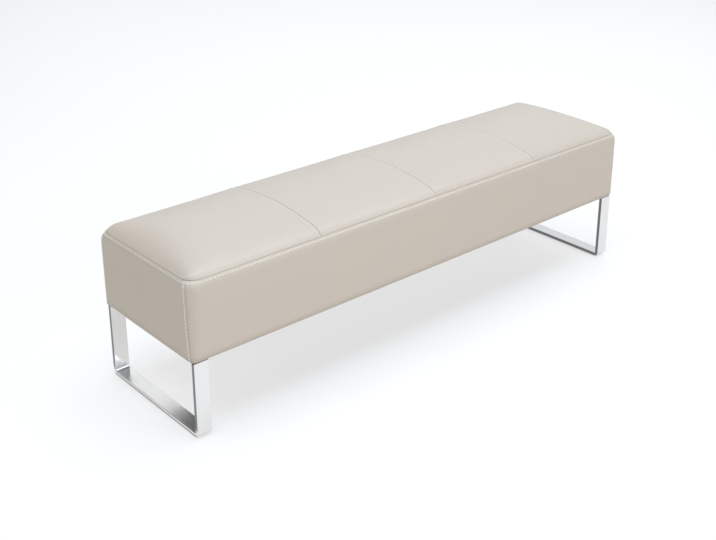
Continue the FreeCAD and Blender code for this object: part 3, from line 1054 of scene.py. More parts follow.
@dataclass
class Panel:
    """One sewn panel of the cover, as a grid of points with u along it and v across it."""

    name: str
    form: SeatForm
    seed: int
    style: SeamStyle = field(default_factory=SeamStyle)
    lump_height: float = 0.00035
    lump_size: float = 0.085
    swell: np.ndarray | None = None
    outer: np.ndarray | None = None
    normals: np.ndarray | None = None
    u: np.ndarray | None = None
    v: np.ndarray | None = None

    def spans(self) -> tuple[float, float]:
        """The panel's size along u and v."""
        raise NotImplementedError

    def stations(self) -> Pair:
        """Stations along u and v for the finished mesh."""
        raise NotImplementedError

    def points(self, u: np.ndarray, v: np.ndarray) -> np.ndarray:
        """The panel's drawn shape, before it swells and is sewn."""
        raise NotImplementedError

    def seams(self, u: np.ndarray, v: np.ndarray) -> list[SeamField]:
        """The seams that bound the panel."""
        raise NotImplementedError

    def free(self, u: np.ndarray, v: np.ndarray) -> np.ndarray:
        """How free each point is to swell, 0 where it is sewn or stapled and 1 away from there."""
        raise NotImplementedError

    def handled(self, u: np.ndarray, v: np.ndarray) -> np.ndarray:
        """Where the cover is polished by use."""
        return np.zeros((len(u), len(v)))

    def finish_form(self) -> None:
        """Work out the sewn shape on the fine stations, from the drawn shape, the swell and the seams."""
        self.u, self.v = self.stations()
        span_u, span_v = self.spans()
        points = self.points(self.u, self.v)
        normals = grid_normals(points)
        free = self.free(self.u, self.v)
        rng = np.random.default_rng(self.seed)
        rise = self.lump_height * uneven(rng, self.u, self.v, self.lump_size)
        if self.swell is not None:
            along = spline_weights(self.u, span_u, self.swell.shape[0])
            across = spline_weights(self.v, span_v, self.swell.shape[1])
            rise = rise + along @ self.swell @ across.T
        points = points + normals * (rise * free)[..., None]
        seams = self.seams(self.u, self.v)
        for seam in seams:
            if seam.topstitched:
                points = points + normals * (self.style.allowance(seam.distance) * seam.strength)[..., None]
        for seam in seams:
            fall = np.clip(1 - seam.distance / self.style.groove_half_width, 0, 1) ** 2 * seam.strength
            points = points + seam.pull * (self.style.groove_depth * fall)[..., None]
        self.outer = points
        self.normals = grid_normals(points)

    def painted_shade(self) -> np.ndarray:
        """How dark the painted shade in the cover's seams is.

        Returns:
            The shade at each fine station, 0 to 1.
        """
        shade = np.zeros(self.outer.shape[:2])
        for seam in self.seams(self.u, self.v):
            drawn = np.exp(-(seam.distance / self.style.shade_width) ** 2)
            shade = np.maximum(shade, seam.shade * seam.strength * drawn)
        return shade

    def build(self, material: bpy.types.Material) -> bpy.types.Object:
        """Make the panel as a closed skin and dress it.

        Args:
            material: The cover's finish.

        Returns:
            The panel's piece.
        """
        inner = self.outer - self.normals * self.form.cover
        item = shell(self.name, self.outer, inner)
        for name, values in (("painted_shade", self.painted_shade()), ("handled", self.handled(self.u, self.v))):
            set_attribute(item, name, np.concatenate([values.ravel(), values.ravel()]))
        dress(item, material)
        return item

    def line_at_u(self, place: float) -> Pair:
        """Points and normals across the finished panel at one place along it."""
        return between(self.u, place, self.outer), between(self.u, place, self.normals)

    def line_at_v(self, place: float) -> Pair:
        """Points and normals along the finished panel at one place across it."""
        turned = (np.swapaxes(grid, 0, 1) for grid in (self.outer, self.normals))
        return tuple(between(self.v, place, grid) for grid in turned)


@dataclass
class TopPanel(Panel):
    """One of the crowned panels of the top.

    u runs along X and v along Y, both from the panel's low corner.
    """

    low_x: float = 0.0
    high_x: float = 0.0
    low_is_end: bool = False
    high_is_end: bool = False
    free_side: float = 0.025
    free_end: float = 0.08
    shoulder: float = 0.03
    shoulder_width: float = 0.03

    def spans(self) -> tuple[float, float]:
        """The panel's length and the seat's width at the seam."""
        return self.high_x - self.low_x, 2 * self.form.seam_half_width

    def stations(self) -> Pair:
        """Stations that close up at every seam."""
        length, width = self.spans()
        return graded(length, True, True), graded(width, True, True)

    def inward(self, u: np.ndarray) -> np.ndarray:
        """Distance in from the nearer end of the seat."""
        return self.form.seam_half_length - np.abs(self.low_x + u)

    def into_corner(self, u: np.ndarray) -> np.ndarray:
        """How far each station is into a plan corner, from 0 to 1 at the end of the seat."""
        return np.clip(1 - self.inward(u) / self.form.corner, 0.0, 1.0)

    def reach(self, u: np.ndarray) -> np.ndarray:
        """Half the width of the top at each station, drawn in round the plan corners."""
        drawn_in = 1 - np.sqrt(1 - self.into_corner(u) ** 2)
        return self.form.seam_half_width - self.form.corner * drawn_in

    def points(self, u: np.ndarray, v: np.ndarray) -> np.ndarray:
        """A crown that rises from the perimeter seam and is drawn down at the cross seams.

        Args:
            u: Stations along the panel.
            v: Stations across it.

        Returns:
            The points.
        """
        form = self.form
        share = v / form.seam_half_width - 1
        reach = self.reach(u)
        x = np.repeat((self.low_x + u)[:, None], len(v), axis=1)
        y = reach[:, None] * share[None, :]
        inward_y = (1 - np.abs(share))[None, :] * reach[:, None]
        height = form.crown_height(self.inward(u)[:, None], inward_y)
        nearest = np.min([np.abs(self.low_x + u - seam) for seam in form.cross_seams], axis=0)
        channel = form.channel_depth * np.clip(1 - nearest / form.channel_half_width, 0, 1) ** 2
        z = form.seam_z + height * (1 - channel[:, None] / form.crown)
        return np.stack([x, y, z], axis=-1)

    def edge_distances(self, u: np.ndarray, v: np.ndarray) -> Pair:
        """Distance of each point from the long edges, and from the seat's end where the panel has one.

        Args:
            u: Stations along the panel.
            v: Stations across it.

        Returns:
            The two distances.
        """
        side = np.minimum(v, v[-1] - v)[None, :] * np.ones((len(u), 1))
        end = np.full((len(u), len(v)), 1.0)
        if self.low_is_end:
            end = np.minimum(end, u[:, None])
        if self.high_is_end:
            end = np.minimum(end, (u[-1] - u)[:, None])
        return side, end

    def seams(self, u: np.ndarray, v: np.ndarray) -> list[SeamField]:
        """The perimeter seam, drawn in and down, and the cross seams, drawn down.

        Args:
            u: Stations along the panel.
            v: Stations across it.

        Returns:
            The seams.
        """
        form, style = self.form, self.style
        side, end = self.edge_distances(u, v)
        part = self.into_corner(u)
        outward = np.stack([part, np.sqrt(1 - part ** 2)], axis=-1)
        x_sign = np.sign(self.low_x + u)
        y_sign = np.where(v < form.seam_half_width, -1.0, 1.0)
        pull = np.zeros((len(u), len(v), 3))
        at_side = side <= end
        pull[..., 0] = np.where(at_side, -x_sign[:, None] * outward[:, :1], -x_sign[:, None])
        pull[..., 1] = np.where(at_side, -y_sign[None, :] * outward[:, 1:], 0.0)
        pull[..., 2] = -1.0
        pull /= math.sqrt(2.0)
        fields = [SeamField(np.minimum(side, end), pull, np.ones_like(side))]
        down = np.array([0.0, 0.0, -1.0])
        fade = smooth_step(side / style.fade)
        if not self.low_is_end:
            fields.append(SeamField(u[:, None] * np.ones_like(side), down, fade, shade=1.0))
        if not self.high_is_end:
            high = (u[-1] - u)[:, None] * np.ones_like(side)
            fields.append(SeamField(high, down, fade, topstitched=True, shade=1.0))
        return fields

    def free(self, u: np.ndarray, v: np.ndarray) -> np.ndarray:
        """Free away from all four edges.

        Args:
            u: Stations along the panel.
            v: Stations across it.

        Returns:
            The freedom of each point, 0 to 1.
        """
        side, _ = self.edge_distances(u, v)
        ends = np.minimum(u, u[-1] - u)[:, None]
        return smooth_step(side / self.free_side) * smooth_step(ends / self.free_end)

    def handled(self, u: np.ndarray, v: np.ndarray) -> np.ndarray:
        """Polished over the shoulders of the crown, where sitters slide on and off."""
        side, end = self.edge_distances(u, v)
        return np.exp(-((np.minimum(side, end) - self.shoulder) / self.shoulder_width) ** 2)


@dataclass
class SidePanel(Panel):
    """One of the boxed sides.

    u runs round the seat, and v up from the edge stapled under the frame to the perimeter seam. A share of
    the outline is 0 to 1 round the first part corner, 1 to 2 along the side and 2 to 3 round the last one.
    """

    side: Side = Side.FRONT
    whole_outline: float = 3.0
    outline_steps: int = 1201
    under_steps: int = 24
    turn_steps: int = 40
    wall_steps: int = 300
    roll_steps: int = 12
    roll_clear: float = 0.001
    long_step: float = 0.0055
    end_step: float = 0.004
    seam_start: float = 0.6
    free_up: float = 0.05
    free_along: float = 0.03
    # Painted shade along the bottom fold: its strength, the height where it starts to fade and how far up
    # it fades
    painted_fold_shade: float = 0.65
    painted_fold_shade_foot: float = 0.003
    painted_fold_shade_reach: float = 0.020
    rubbed: float = 0.02
    rubbed_width: float = 0.025

    def __post_init__(self) -> None:
        """Work out the tables that carry u and v to the outline and the profile."""
        self.outline_share, self.outline_run = self.outline_table()
        self.profile_out, self.profile_z, self.profile_corner, self.profile_run = self.profile_table()

    def profile_table(self) -> tuple[np.ndarray, np.ndarray, np.ndarray, np.ndarray]:
        """The side's section from the stapled edge, round the bottom roll and up the bulged wall.

        Returns:
            How far out of the seam's outline each step stands, its height, its plan corner's radius and its
            distance along the section.
        """
        form = self.form
        inner = form.core_half_width - form.flange - form.seam_half_width
        under = np.linspace(inner, form.foot_out - form.roll_depth, self.under_steps)
        turn = np.linspace(-math.pi / 2, 0, self.turn_steps)
        wall_z = np.linspace(form.underside_z + form.roll, form.seam_z, self.wall_steps)
        share = (wall_z - wall_z[0]) / (wall_z[-1] - wall_z[0])
        below = np.clip((form.fullest - share) / form.fullest, 0, 1) ** 2
        above = np.clip((share - form.fullest) / (1 - form.fullest), 0, 1) ** form.shoulder_power
        wall = form.bulge * (1 - above) - (form.bulge - form.foot_out) * below
        rolled = form.foot_out + form.roll_depth * (np.cos(turn[1:]) - 1)
        out = np.concatenate([under, rolled, wall[1:]])
        rolled_z = form.underside_z + form.roll * (1 + np.sin(turn[1:]))
        z = np.concatenate([np.full(len(under), form.underside_z), rolled_z, wall_z[1:]])
        wall_corner = form.wall_corner + (form.corner - form.wall_corner) * above
        wall_corner = wall_corner + (form.foot_corner - form.wall_corner) * below
        turned = np.linspace(form.flange_corner, form.foot_corner, len(under) + len(turn))
        corner = np.concatenate([turned[:-1], wall_corner[1:]])
        run = np.concatenate([[0.0], np.cumsum(np.hypot(np.diff(out), np.diff(z)))])
        return out, z, corner, run

    def outline_table(self) -> Pair:
        """Steps round the outline.

        Returns:
            The shares of the outline, and the distance along the seam that each stands at.
        """
        share = np.linspace(0.0, self.whole_outline, self.outline_steps)
        x, y = self.outline(share, np.zeros_like(share), np.full_like(share, self.form.corner))
        return share, np.concatenate([[0.0], np.cumsum(np.hypot(np.diff(x), np.diff(y)))])

    def outline(self, share: np.ndarray, out: np.ndarray, radius: np.ndarray) -> Pair:
        """Plan of the front or the left end, so far outside the seam, from one corner seam to the next.

        Args:
            share: Shares of the outline.
            out: How far outside the seam's outline each point stands.
            radius: The plan corners' radius there.

        Returns:
            The points' x and y.
        """
        form = self.form
        half_length = form.seam_half_length + out
        half_width = form.seam_half_width + out
        run, depth = (half_length, half_width) if self.side.long else (half_width, half_length)
        mirrored, sign = self.mirrored(share)
        angle = self.corner_angle(mirrored)
        straight = np.clip(mirrored - 1.0, 0.0, 0.5) * 2
        along = sign * (run - radius + radius * np.cos(angle)) * (1 - straight)
        return self.plan(along, depth - radius + radius * np.sin(angle))

    def mirrored(self, share: np.ndarray) -> Pair:
        """Shares counted from the nearer end of the outline, and the sign of the direction to that end."""
        last = share > self.whole_outline / 2
        return np.where(last, self.whole_outline - share, share), np.where(last, 1.0, -1.0)

    def plan(self, along: np.ndarray, outside: np.ndarray) -> Pair:
        """The x and y of distances along the side and out from the seat's middle."""
        return (along, -outside) if self.side.long else (-outside, -along)

    def corner_angle(self, share: np.ndarray) -> np.ndarray:
        """Angle round a plan corner from the seat's end, for a long side, or from its front, for an end."""
        first = self.form.seam_turn if self.side.long else math.pi / 2 - self.form.seam_turn
        return first + np.clip(share, 0.0, 1.0) * (math.pi / 2 - first)

    def spans(self) -> tuple[float, float]:
        """Length round the seat and up the profile."""
        return float(self.outline_run[-1]), float(self.profile_run[-1])

    def stations(self) -> Pair:
        """Stations that close up at the corner seams, the perimeter seam and the bottom roll.

        Returns:
            The stations along u and along v.
        """
        length, height = self.spans()
        along = graded(length, True, True, widest=self.long_step if self.side.long else self.end_step)
        up = graded(height, False, True)
        roll_low = self.profile_run[self.under_steps - 1]
        roll_high = self.profile_run[self.under_steps + self.turn_steps - 2]
        roll = np.linspace(roll_low, roll_high, self.roll_steps)
        outside = up[(up < roll_low - self.roll_clear) | (up > roll_high + self.roll_clear)]
        return along, np.sort(np.concatenate([outside, roll]))

    def points(self, u: np.ndarray, v: np.ndarray) -> np.ndarray:
        """The profile carried round the outline.

        Args:
            u: Stations along the panel.
            v: Stations across it.

        Returns:
            The points.
        """
        share = np.interp(u, self.outline_run, self.outline_share)
        out = np.interp(v, self.profile_run, self.profile_out)
        z = np.interp(v, self.profile_run, self.profile_z)
        radius = np.interp(v, self.profile_run, self.profile_corner)
        shares, outs = np.meshgrid(share, out, indexing="ij")
        x, y = self.outline(shares, outs, np.repeat(radius[None, :], len(u), axis=0))
        turn = self.side.turn
        return np.stack([turn * x, turn * y, np.repeat(z[None, :], len(u), axis=0)], axis=-1)

    def plan_outward(self, u: np.ndarray) -> np.ndarray:
        """Unit outward direction of the seam's outline in plan.

        Args:
            u: Stations along the panel.

        Returns:
            The direction's x and y at each station.
        """
        share = np.interp(u, self.outline_run, self.outline_share)
        mirrored, sign = self.mirrored(share)
        angle = self.corner_angle(mirrored)
        return self.side.turn * np.stack(self.plan(np.cos(angle) * sign, np.sin(angle)), axis=-1)

    def seams(self, u: np.ndarray, v: np.ndarray) -> list[SeamField]:
        """The perimeter seam over the panel and the corner seams at its two ends.

        Args:
            u: Stations along the panel.
            v: Stations across it.

        Returns:
            The seams.
        """
        shape = np.ones((len(u), len(v)))
        height = (v[-1] - v)[None, :] * shape
        pull = np.zeros((len(u), len(v), 3))
        pull[..., :2] = -self.plan_outward(u)[:, None, :]
        pull[..., 2] = -1.0
        pull /= math.sqrt(2.0)
        top = SeamField(height, pull, shape, topstitched=True)
        ends = ((1.0, 1.0), (-1.0, 1.0)) if self.side.long else ((1.0, -1.0), (1.0, 1.0))
        under = smooth_step((v - self.seam_start * self.form.flange) / self.form.roll)[None, :]
        fade = smooth_step(height / self.style.fade) * under
        fields = [top]
        turn_x, turn_y = math.cos(self.form.seam_turn), math.sin(self.form.seam_turn)
        for (x, y), distance in zip(ends, (u, u[-1] - u)):
            inward = self.side.turn * np.array([x * turn_x, y * turn_y, 0.0])
            away = distance[:, None] * shape
            fields.append(SeamField(away, inward, fade, topstitched=not self.side.long))
        return fields

    def free(self, u: np.ndarray, v: np.ndarray) -> np.ndarray:
        """Free on the wall, away from its seams and its bottom roll.

        Args:
            u: Stations along the panel.
            v: Stations across it.

        Returns:
            The freedom of each point, 0 to 1.
        """
        roll_top = self.profile_run[-1] - (self.form.seam_z - self.form.underside_z - self.form.roll)
        up = np.minimum(v - roll_top, v[-1] - v)[None, :]
        along = np.minimum(u, u[-1] - u)[:, None]
        return smooth_step(np.minimum(up / self.free_up, along / self.free_along))

    def painted_shade(self) -> np.ndarray:
        """How dark the painted shade is in the cover's seams and, less so, along the fold at its foot.

        Returns:
            The shade at each fine station, 0 to 1.
        """
        height = self.outer[..., 2] - self.form.underside_z
        # Painted shade along the bottom fold, full at the underside and fading up the wall
        fold = self.painted_fold_shade * (1 - smooth_step((height - self.painted_fold_shade_foot) / self.painted_fold_shade_reach))
        return np.maximum(super().painted_shade(), fold)

    def handled(self, u: np.ndarray, v: np.ndarray) -> np.ndarray:
        """Rubbed along the top of the wall, where legs hang over it."""
        polish = np.exp(-(((v[-1] - v) - self.rubbed) / self.rubbed_width) ** 2)
        return polish[None, :] * np.ones((len(u), 1))


@dataclass(frozen=True)
class ClothSwell:
    """Cloth simulation that lets the padding swell the sewn panels, all of them in one run."""

    pitch: float = 0.0065
    start_inset: float = 0.001
    pressure: float = 8.0
    stiffness: float = 15.0
    bending: float = 1.0
    mass: float = 0.3
    air_damping: float = 4.0
    quality: int = 5
    fill: float = 0.72
    fill_swing: float = 0.28
    fill_cell: float = 0.13
    fill_seed: int = 100
    held_below: float = 0.02
    frames: int = 20
    cap: float = 0.0016

    def coarse(self, panel: Panel) -> Pair:
        """Even stations along and across a panel, for its simulated grid."""
        return tuple(np.linspace(0.0, span, round(span / self.pitch) + 1) for span in panel.spans())

    def start(self, panel: Panel) -> bpy.types.Object:
        """Make the grid that is simulated, a little inside the drawn shape and held where it is sewn.

        Args:
            panel: The panel to make it for.

        Returns:
            The object, with its Cloth modifier.
        """
        u, v = self.coarse(panel)
        points = panel.points(u, v)
        free = panel.free(u, v)
        inset = points - grid_normals(points) * (self.start_inset * free)[..., None]
        item = mesh_object(f"swelling_{panel.name}", inset.reshape(-1, 3), grid_faces(len(u), len(v)))
        rng = np.random.default_rng(panel.seed + self.fill_seed)
        fill = self.fill + self.fill_swing * np.clip(uneven(rng, u, v, self.fill_cell), -1, 1)
        held = item.vertex_groups.new(name="held")
        filled = item.vertex_groups.new(name="filled")
        held.add(np.flatnonzero(free.ravel() < self.held_below).tolist(), 1.0, "REPLACE")
        for number, weight in enumerate(fill.ravel().tolist()):
            filled.add([number], weight, "REPLACE")
        cloth = item.modifiers.new("swell", "CLOTH")
        settings = {
            "quality": self.quality,
            "mass": self.mass,
            "air_damping": self.air_damping,
            "tension_stiffness": self.stiffness,
            "compression_stiffness": self.stiffness,
            "shear_stiffness": self.stiffness / 2,
            "bending_stiffness": self.bending,
            "use_pressure": True,
            "uniform_pressure_force": self.pressure,
            "vertex_group_pressure": filled.name,
            "vertex_group_mass": held.name,
        }
        for key, value in settings.items():
            setattr(cloth.settings, key, value)
        cloth.settings.effector_weights.gravity = 0.0
        cloth.point_cache.frame_start = 1
        cloth.point_cache.frame_end = self.frames
        return item

    def run(self, panels: list[Panel]) -> None:
        """Simulate every panel and leave each with how far it swelled from its drawn shape.

        Args:
            panels: The panels.
        """
        scene = bpy.context.scene
        items = [self.start(panel) for panel in panels]
        for frame in range(1, self.frames + 1):
            scene.frame_set(frame)
        depsgraph = bpy.context.evaluated_depsgraph_get()
        for panel, item in zip(panels, items):
            u, v = self.coarse(panel)
            drawn = panel.points(u, v)
            found = item.evaluated_get(depsgraph).data
            flat = np.zeros(drawn.size, np.float32)
            found.vertices.foreach_get("co", flat)
            moved = ((flat.reshape(drawn.shape) - drawn) * grid_normals(drawn)).sum(axis=2)
            most = np.abs(moved).max()
            panel.swell = moved * min(1.0, self.cap / most)
            kept = np.abs(panel.swell).max()
            log.info("%s moved %.1f mm, kept to %.1f mm", panel.name, 1000 * most, 1000 * kept)
        for item in items:
            bpy.data.objects.remove(item)
        scene.frame_set(1)


# Rows made by Geometry Nodes


class RowTree(NodeTree):
    """Geometry Nodes tree that lays one small shape after another along a path on a surface."""

    NORMAL = "surface_normal"
    BOW_POINTS = 5
    THREAD_SIDES = 6
    SINK = -0.9
    TIP_WIDTH = 0.45
    TIP_TAPER = 0.4
    BEAD_LEVELS = 2

    def __init__(self, shape: RowShape) -> None:
        """Build the tree for one kind of shape.

        Args:
            shape: What the row is made of.
        """
        super().__init__(bpy.data.node_groups.new(f"row_of_{shape.value}", "GeometryNodeTree"))
        socket = self.tree.interface.new_socket
        socket("Path", in_out="INPUT", socket_type="NodeSocketGeometry")
        for name in ("Pitch", "Length", "Radius", "Lift"):
            socket(name, in_out="INPUT", socket_type="NodeSocketFloat")
        socket("Finish", in_out="INPUT", socket_type="NodeSocketMaterial")
        socket("Row", in_out="OUTPUT", socket_type="NodeSocketGeometry")
        self.given = self.add("NodeGroupInput").outputs
        maker = {RowShape.STITCH: self.stitch, RowShape.WELD_RIPPLE: self.ripple}[shape]
        self.lay(maker())

    def stitch(self) -> Socket:
        """One stitch: a short bowed length of thread that dips into the cover at both ends.

        Returns:
            The stitch's mesh.
        """
        half = self.math("MULTIPLY", self.given["Length"], 0.5)
        back = self.math("MULTIPLY", half, -1.0)
        sink = self.math("MULTIPLY", self.given["Radius"], self.SINK)
        ends = [self.add("ShaderNodeCombineXYZ", {"X": x, "Z": sink}).outputs[0] for x in (back, half)]
        crest = self.add("ShaderNodeCombineXYZ", {"Z": self.given["Lift"]}).outputs[0]
        inputs = {"Resolution": self.BOW_POINTS, "Start": ends[0], "Middle": crest, "End": ends[1]}
        bow = self.add("GeometryNodeCurveQuadraticBezier", inputs).outputs["Curve"]
        share = self.add("GeometryNodeSplineParameter").outputs["Factor"]
        turn = self.math("MULTIPLY", share, math.pi)
        full = self.math("POWER", self.math("SINE", turn), self.TIP_TAPER)
        width = self.math("ADD", self.math("MULTIPLY", full, 1.0 - self.TIP_WIDTH), self.TIP_WIDTH)
        thick = self.add("GeometryNodeSetCurveRadius", {"Curve": bow, "Radius": width}).outputs["Curve"]
        inputs = {"Resolution": self.THREAD_SIDES, "Radius": self.given["Radius"]}
        ring = self.add("GeometryNodeCurvePrimitiveCircle", inputs)
        inputs = {"Curve": thick, "Profile Curve": ring.outputs["Curve"], "Fill Caps": True}
        return self.add("GeometryNodeCurveToMesh", inputs).outputs["Mesh"]

    def ripple(self) -> Socket:
        """One ripple of a weld: a flattened bead.

        Returns:
            The ripple's mesh.
        """
        inputs = {"Radius": 1.0, "Subdivisions": self.BEAD_LEVELS}
        ball = self.add("GeometryNodeMeshIcoSphere", inputs).outputs["Mesh"]
        sides = {"X": self.given["Length"], "Y": self.given["Radius"], "Z": self.given["Lift"]}
        scale = self.add("ShaderNodeCombineXYZ", sides).outputs[0]
        return self.add("GeometryNodeTransform", {"Geometry": ball, "Scale": scale}).outputs["Geometry"]

    def lay(self, shape: Socket) -> None:
        """Place the shape along the path, turned to it and to the surface, and make it plain mesh.

        Args:
            shape: The shape's mesh.
        """
        path = self.add("GeometryNodeMeshToCurve", {"Mesh": self.given["Path"]}).outputs["Curve"]
        inputs = {"Curve": path, "Length": self.given["Pitch"]}
        even = self.add("GeometryNodeResampleCurve", inputs, mode="LENGTH").outputs["Curve"]
        tangent = self.add("GeometryNodeInputTangent").outputs["Tangent"]
        inputs = {"Name": self.NORMAL}
        normal = self.add("GeometryNodeInputNamedAttribute", inputs, data_type="FLOAT_VECTOR")
        ahead = self.add("FunctionNodeAlignRotationToVector", {"Vector": tangent}, axis="X")
        inputs = {"Rotation": ahead.outputs[0], "Vector": normal.outputs[0]}
        upright = self.add("FunctionNodeAlignRotationToVector", inputs, axis="Z", pivot_axis="X")
        inputs = {"Points": even, "Instance": shape, "Rotation": upright.outputs[0]}
        placed = self.add("GeometryNodeInstanceOnPoints", inputs).outputs["Instances"]
        plain = self.add("GeometryNodeRealizeInstances", {"Geometry": placed}).outputs["Geometry"]
        smooth = self.add("GeometryNodeSetShadeSmooth", {"Geometry": plain}).outputs["Geometry"]
        inputs = {"Geometry": smooth, "Material": self.given["Finish"]}
        finished = self.add("GeometryNodeSetMaterial", inputs).outputs["Geometry"]
        self.add("NodeGroupOutput", {"Row": finished})

    def make(self, name: str, paths: list[Pair], sizes: dict[str, Any]) -> bpy.types.Object:
        """Lay rows along paths and keep the result as one plain mesh.

        Args:
            name: The piece's name.
            paths: Points and surface normals of each row.
            sizes: Values for the tree's named inputs.

        Returns:
            The piece.
        """
        points = np.concatenate([path for path, _ in paths])
        normals = np.concatenate([normal for _, normal in paths])
        edges, first = [], 0
        for path, _ in paths:
            edges += [(first + step, first + step + 1) for step in range(len(path) - 1)]
            first += len(path)
        mesh = bpy.data.meshes.new(name)
        mesh.from_pydata(points.tolist(), edges, [])
        stored = mesh.attributes.new(self.NORMAL, "FLOAT_VECTOR", "POINT")
        stored.data.foreach_set("vector", np.ascontiguousarray(normals, np.float32).ravel())
        item = bpy.data.objects.new(name, mesh)
        bpy.context.scene.collection.objects.link(item)
        row = item.modifiers.new("row", "NODES")
        row.node_group = self.tree
        for entry in self.tree.interface.items_tree:
            if entry.in_out == "INPUT" and entry.name in sizes:
                row[entry.identifier] = sizes[entry.name]
        depsgraph = bpy.context.evaluated_depsgraph_get()
        plain = bpy.data.meshes.new_from_object(item.evaluated_get(depsgraph), depsgraph=depsgraph)
        item.modifiers.clear()
        item.data = plain
        plain.name = name
        if self.NORMAL in plain.attributes:
            plain.attributes.remove(plain.attributes[self.NORMAL])
        return item


# Sub-assemblies


@dataclass
class Cover:
    """The sewn cover: four top panels, four side panels and their topstitching."""

    form: SeatForm
    palette: Palette
    stitch_pitch: float = 0.0098
    stitch_length: float = 0.0076
    thread_radius: float = 0.0010
    stitch_lift: float = 0.0018
    row_end: float = 0.004
    top_seed: int = 11
    side_seed: int = 31
    panels: dict[str, Panel] = field(default_factory=dict)

    def draw(self) -> None:
        """Lay out the panels."""
        form = self.form
        edges = [-form.seam_half_length, *form.cross_seams, form.seam_half_length]
        last = len(edges) - 2
        for number in range(last + 1):
            node = f"top_panel_{number + 1}"
            self.panels[node] = TopPanel(
                f"cover_{node}",
                form,
                self.top_seed + number,
                low_x=edges[number],
                high_x=edges[number + 1],
                low_is_end=number == 0,
                high_is_end=number == last,
            )
        for number, side in enumerate(Side):
            panel = SidePanel(f"cover_{side.value}", form, self.side_seed + number, side=side)
            self.panels[f"{side.value}_boxing"] = panel

    def sew(self) -> list[bpy.types.Object]:
        """Swell the panels, shape their seams and make them.

        Returns:
            The panels' pieces.
        """
        ClothSwell().run(list(self.panels.values()))
        made = []
        for node, panel in self.panels.items():
            panel.finish_form()
            piece = panel.build(self.palette.slots["leatherette"])
            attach(piece, BODY)
            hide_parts(node)
            made.append(piece)
        return made

    def rows(self) -> list[Pair]:
        """Where the topstitching runs: under the perimeter seam and beside the corner and cross seams.

        Returns:
            The rows' paths.
        """
        rows = []
        for panel in self.panels.values():
            offset = panel.style.row_offset
            if isinstance(panel, SidePanel):
                round_seat = (panel.u > self.row_end) & (panel.u < panel.u[-1] - self.row_end)
                rows.append((panel.line_at_v(panel.v[-1] - offset), round_seat))
                if not panel.side.long:
                    up = (panel.v > self.form.flange) & (panel.v < panel.v[-1] - offset - self.row_end)
                    rows += [(panel.line_at_u(place), up) for place in (offset, panel.u[-1] - offset)]
            elif not panel.high_is_end:
                across = (panel.v > self.row_end) & (panel.v < panel.v[-1] - self.row_end)
                rows.append((panel.line_at_u(panel.u[-1] - offset), across))
        return [(points[kept], normals[kept]) for (points, normals), kept in rows]

    def stitch(self) -> bpy.types.Object:
        """Lay the topstitching.

        Returns:
            The thread, as one piece.
        """
        sizes = {
            "Pitch": self.stitch_pitch,
            "Length": self.stitch_length,
            "Radius": self.thread_radius,
            "Lift": self.stitch_lift,
            "Finish": self.palette.thread,
        }
        thread = RowTree(RowShape.STITCH).make("cover_topstitching", self.rows(), sizes)
        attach(thread, BODY)
        return thread


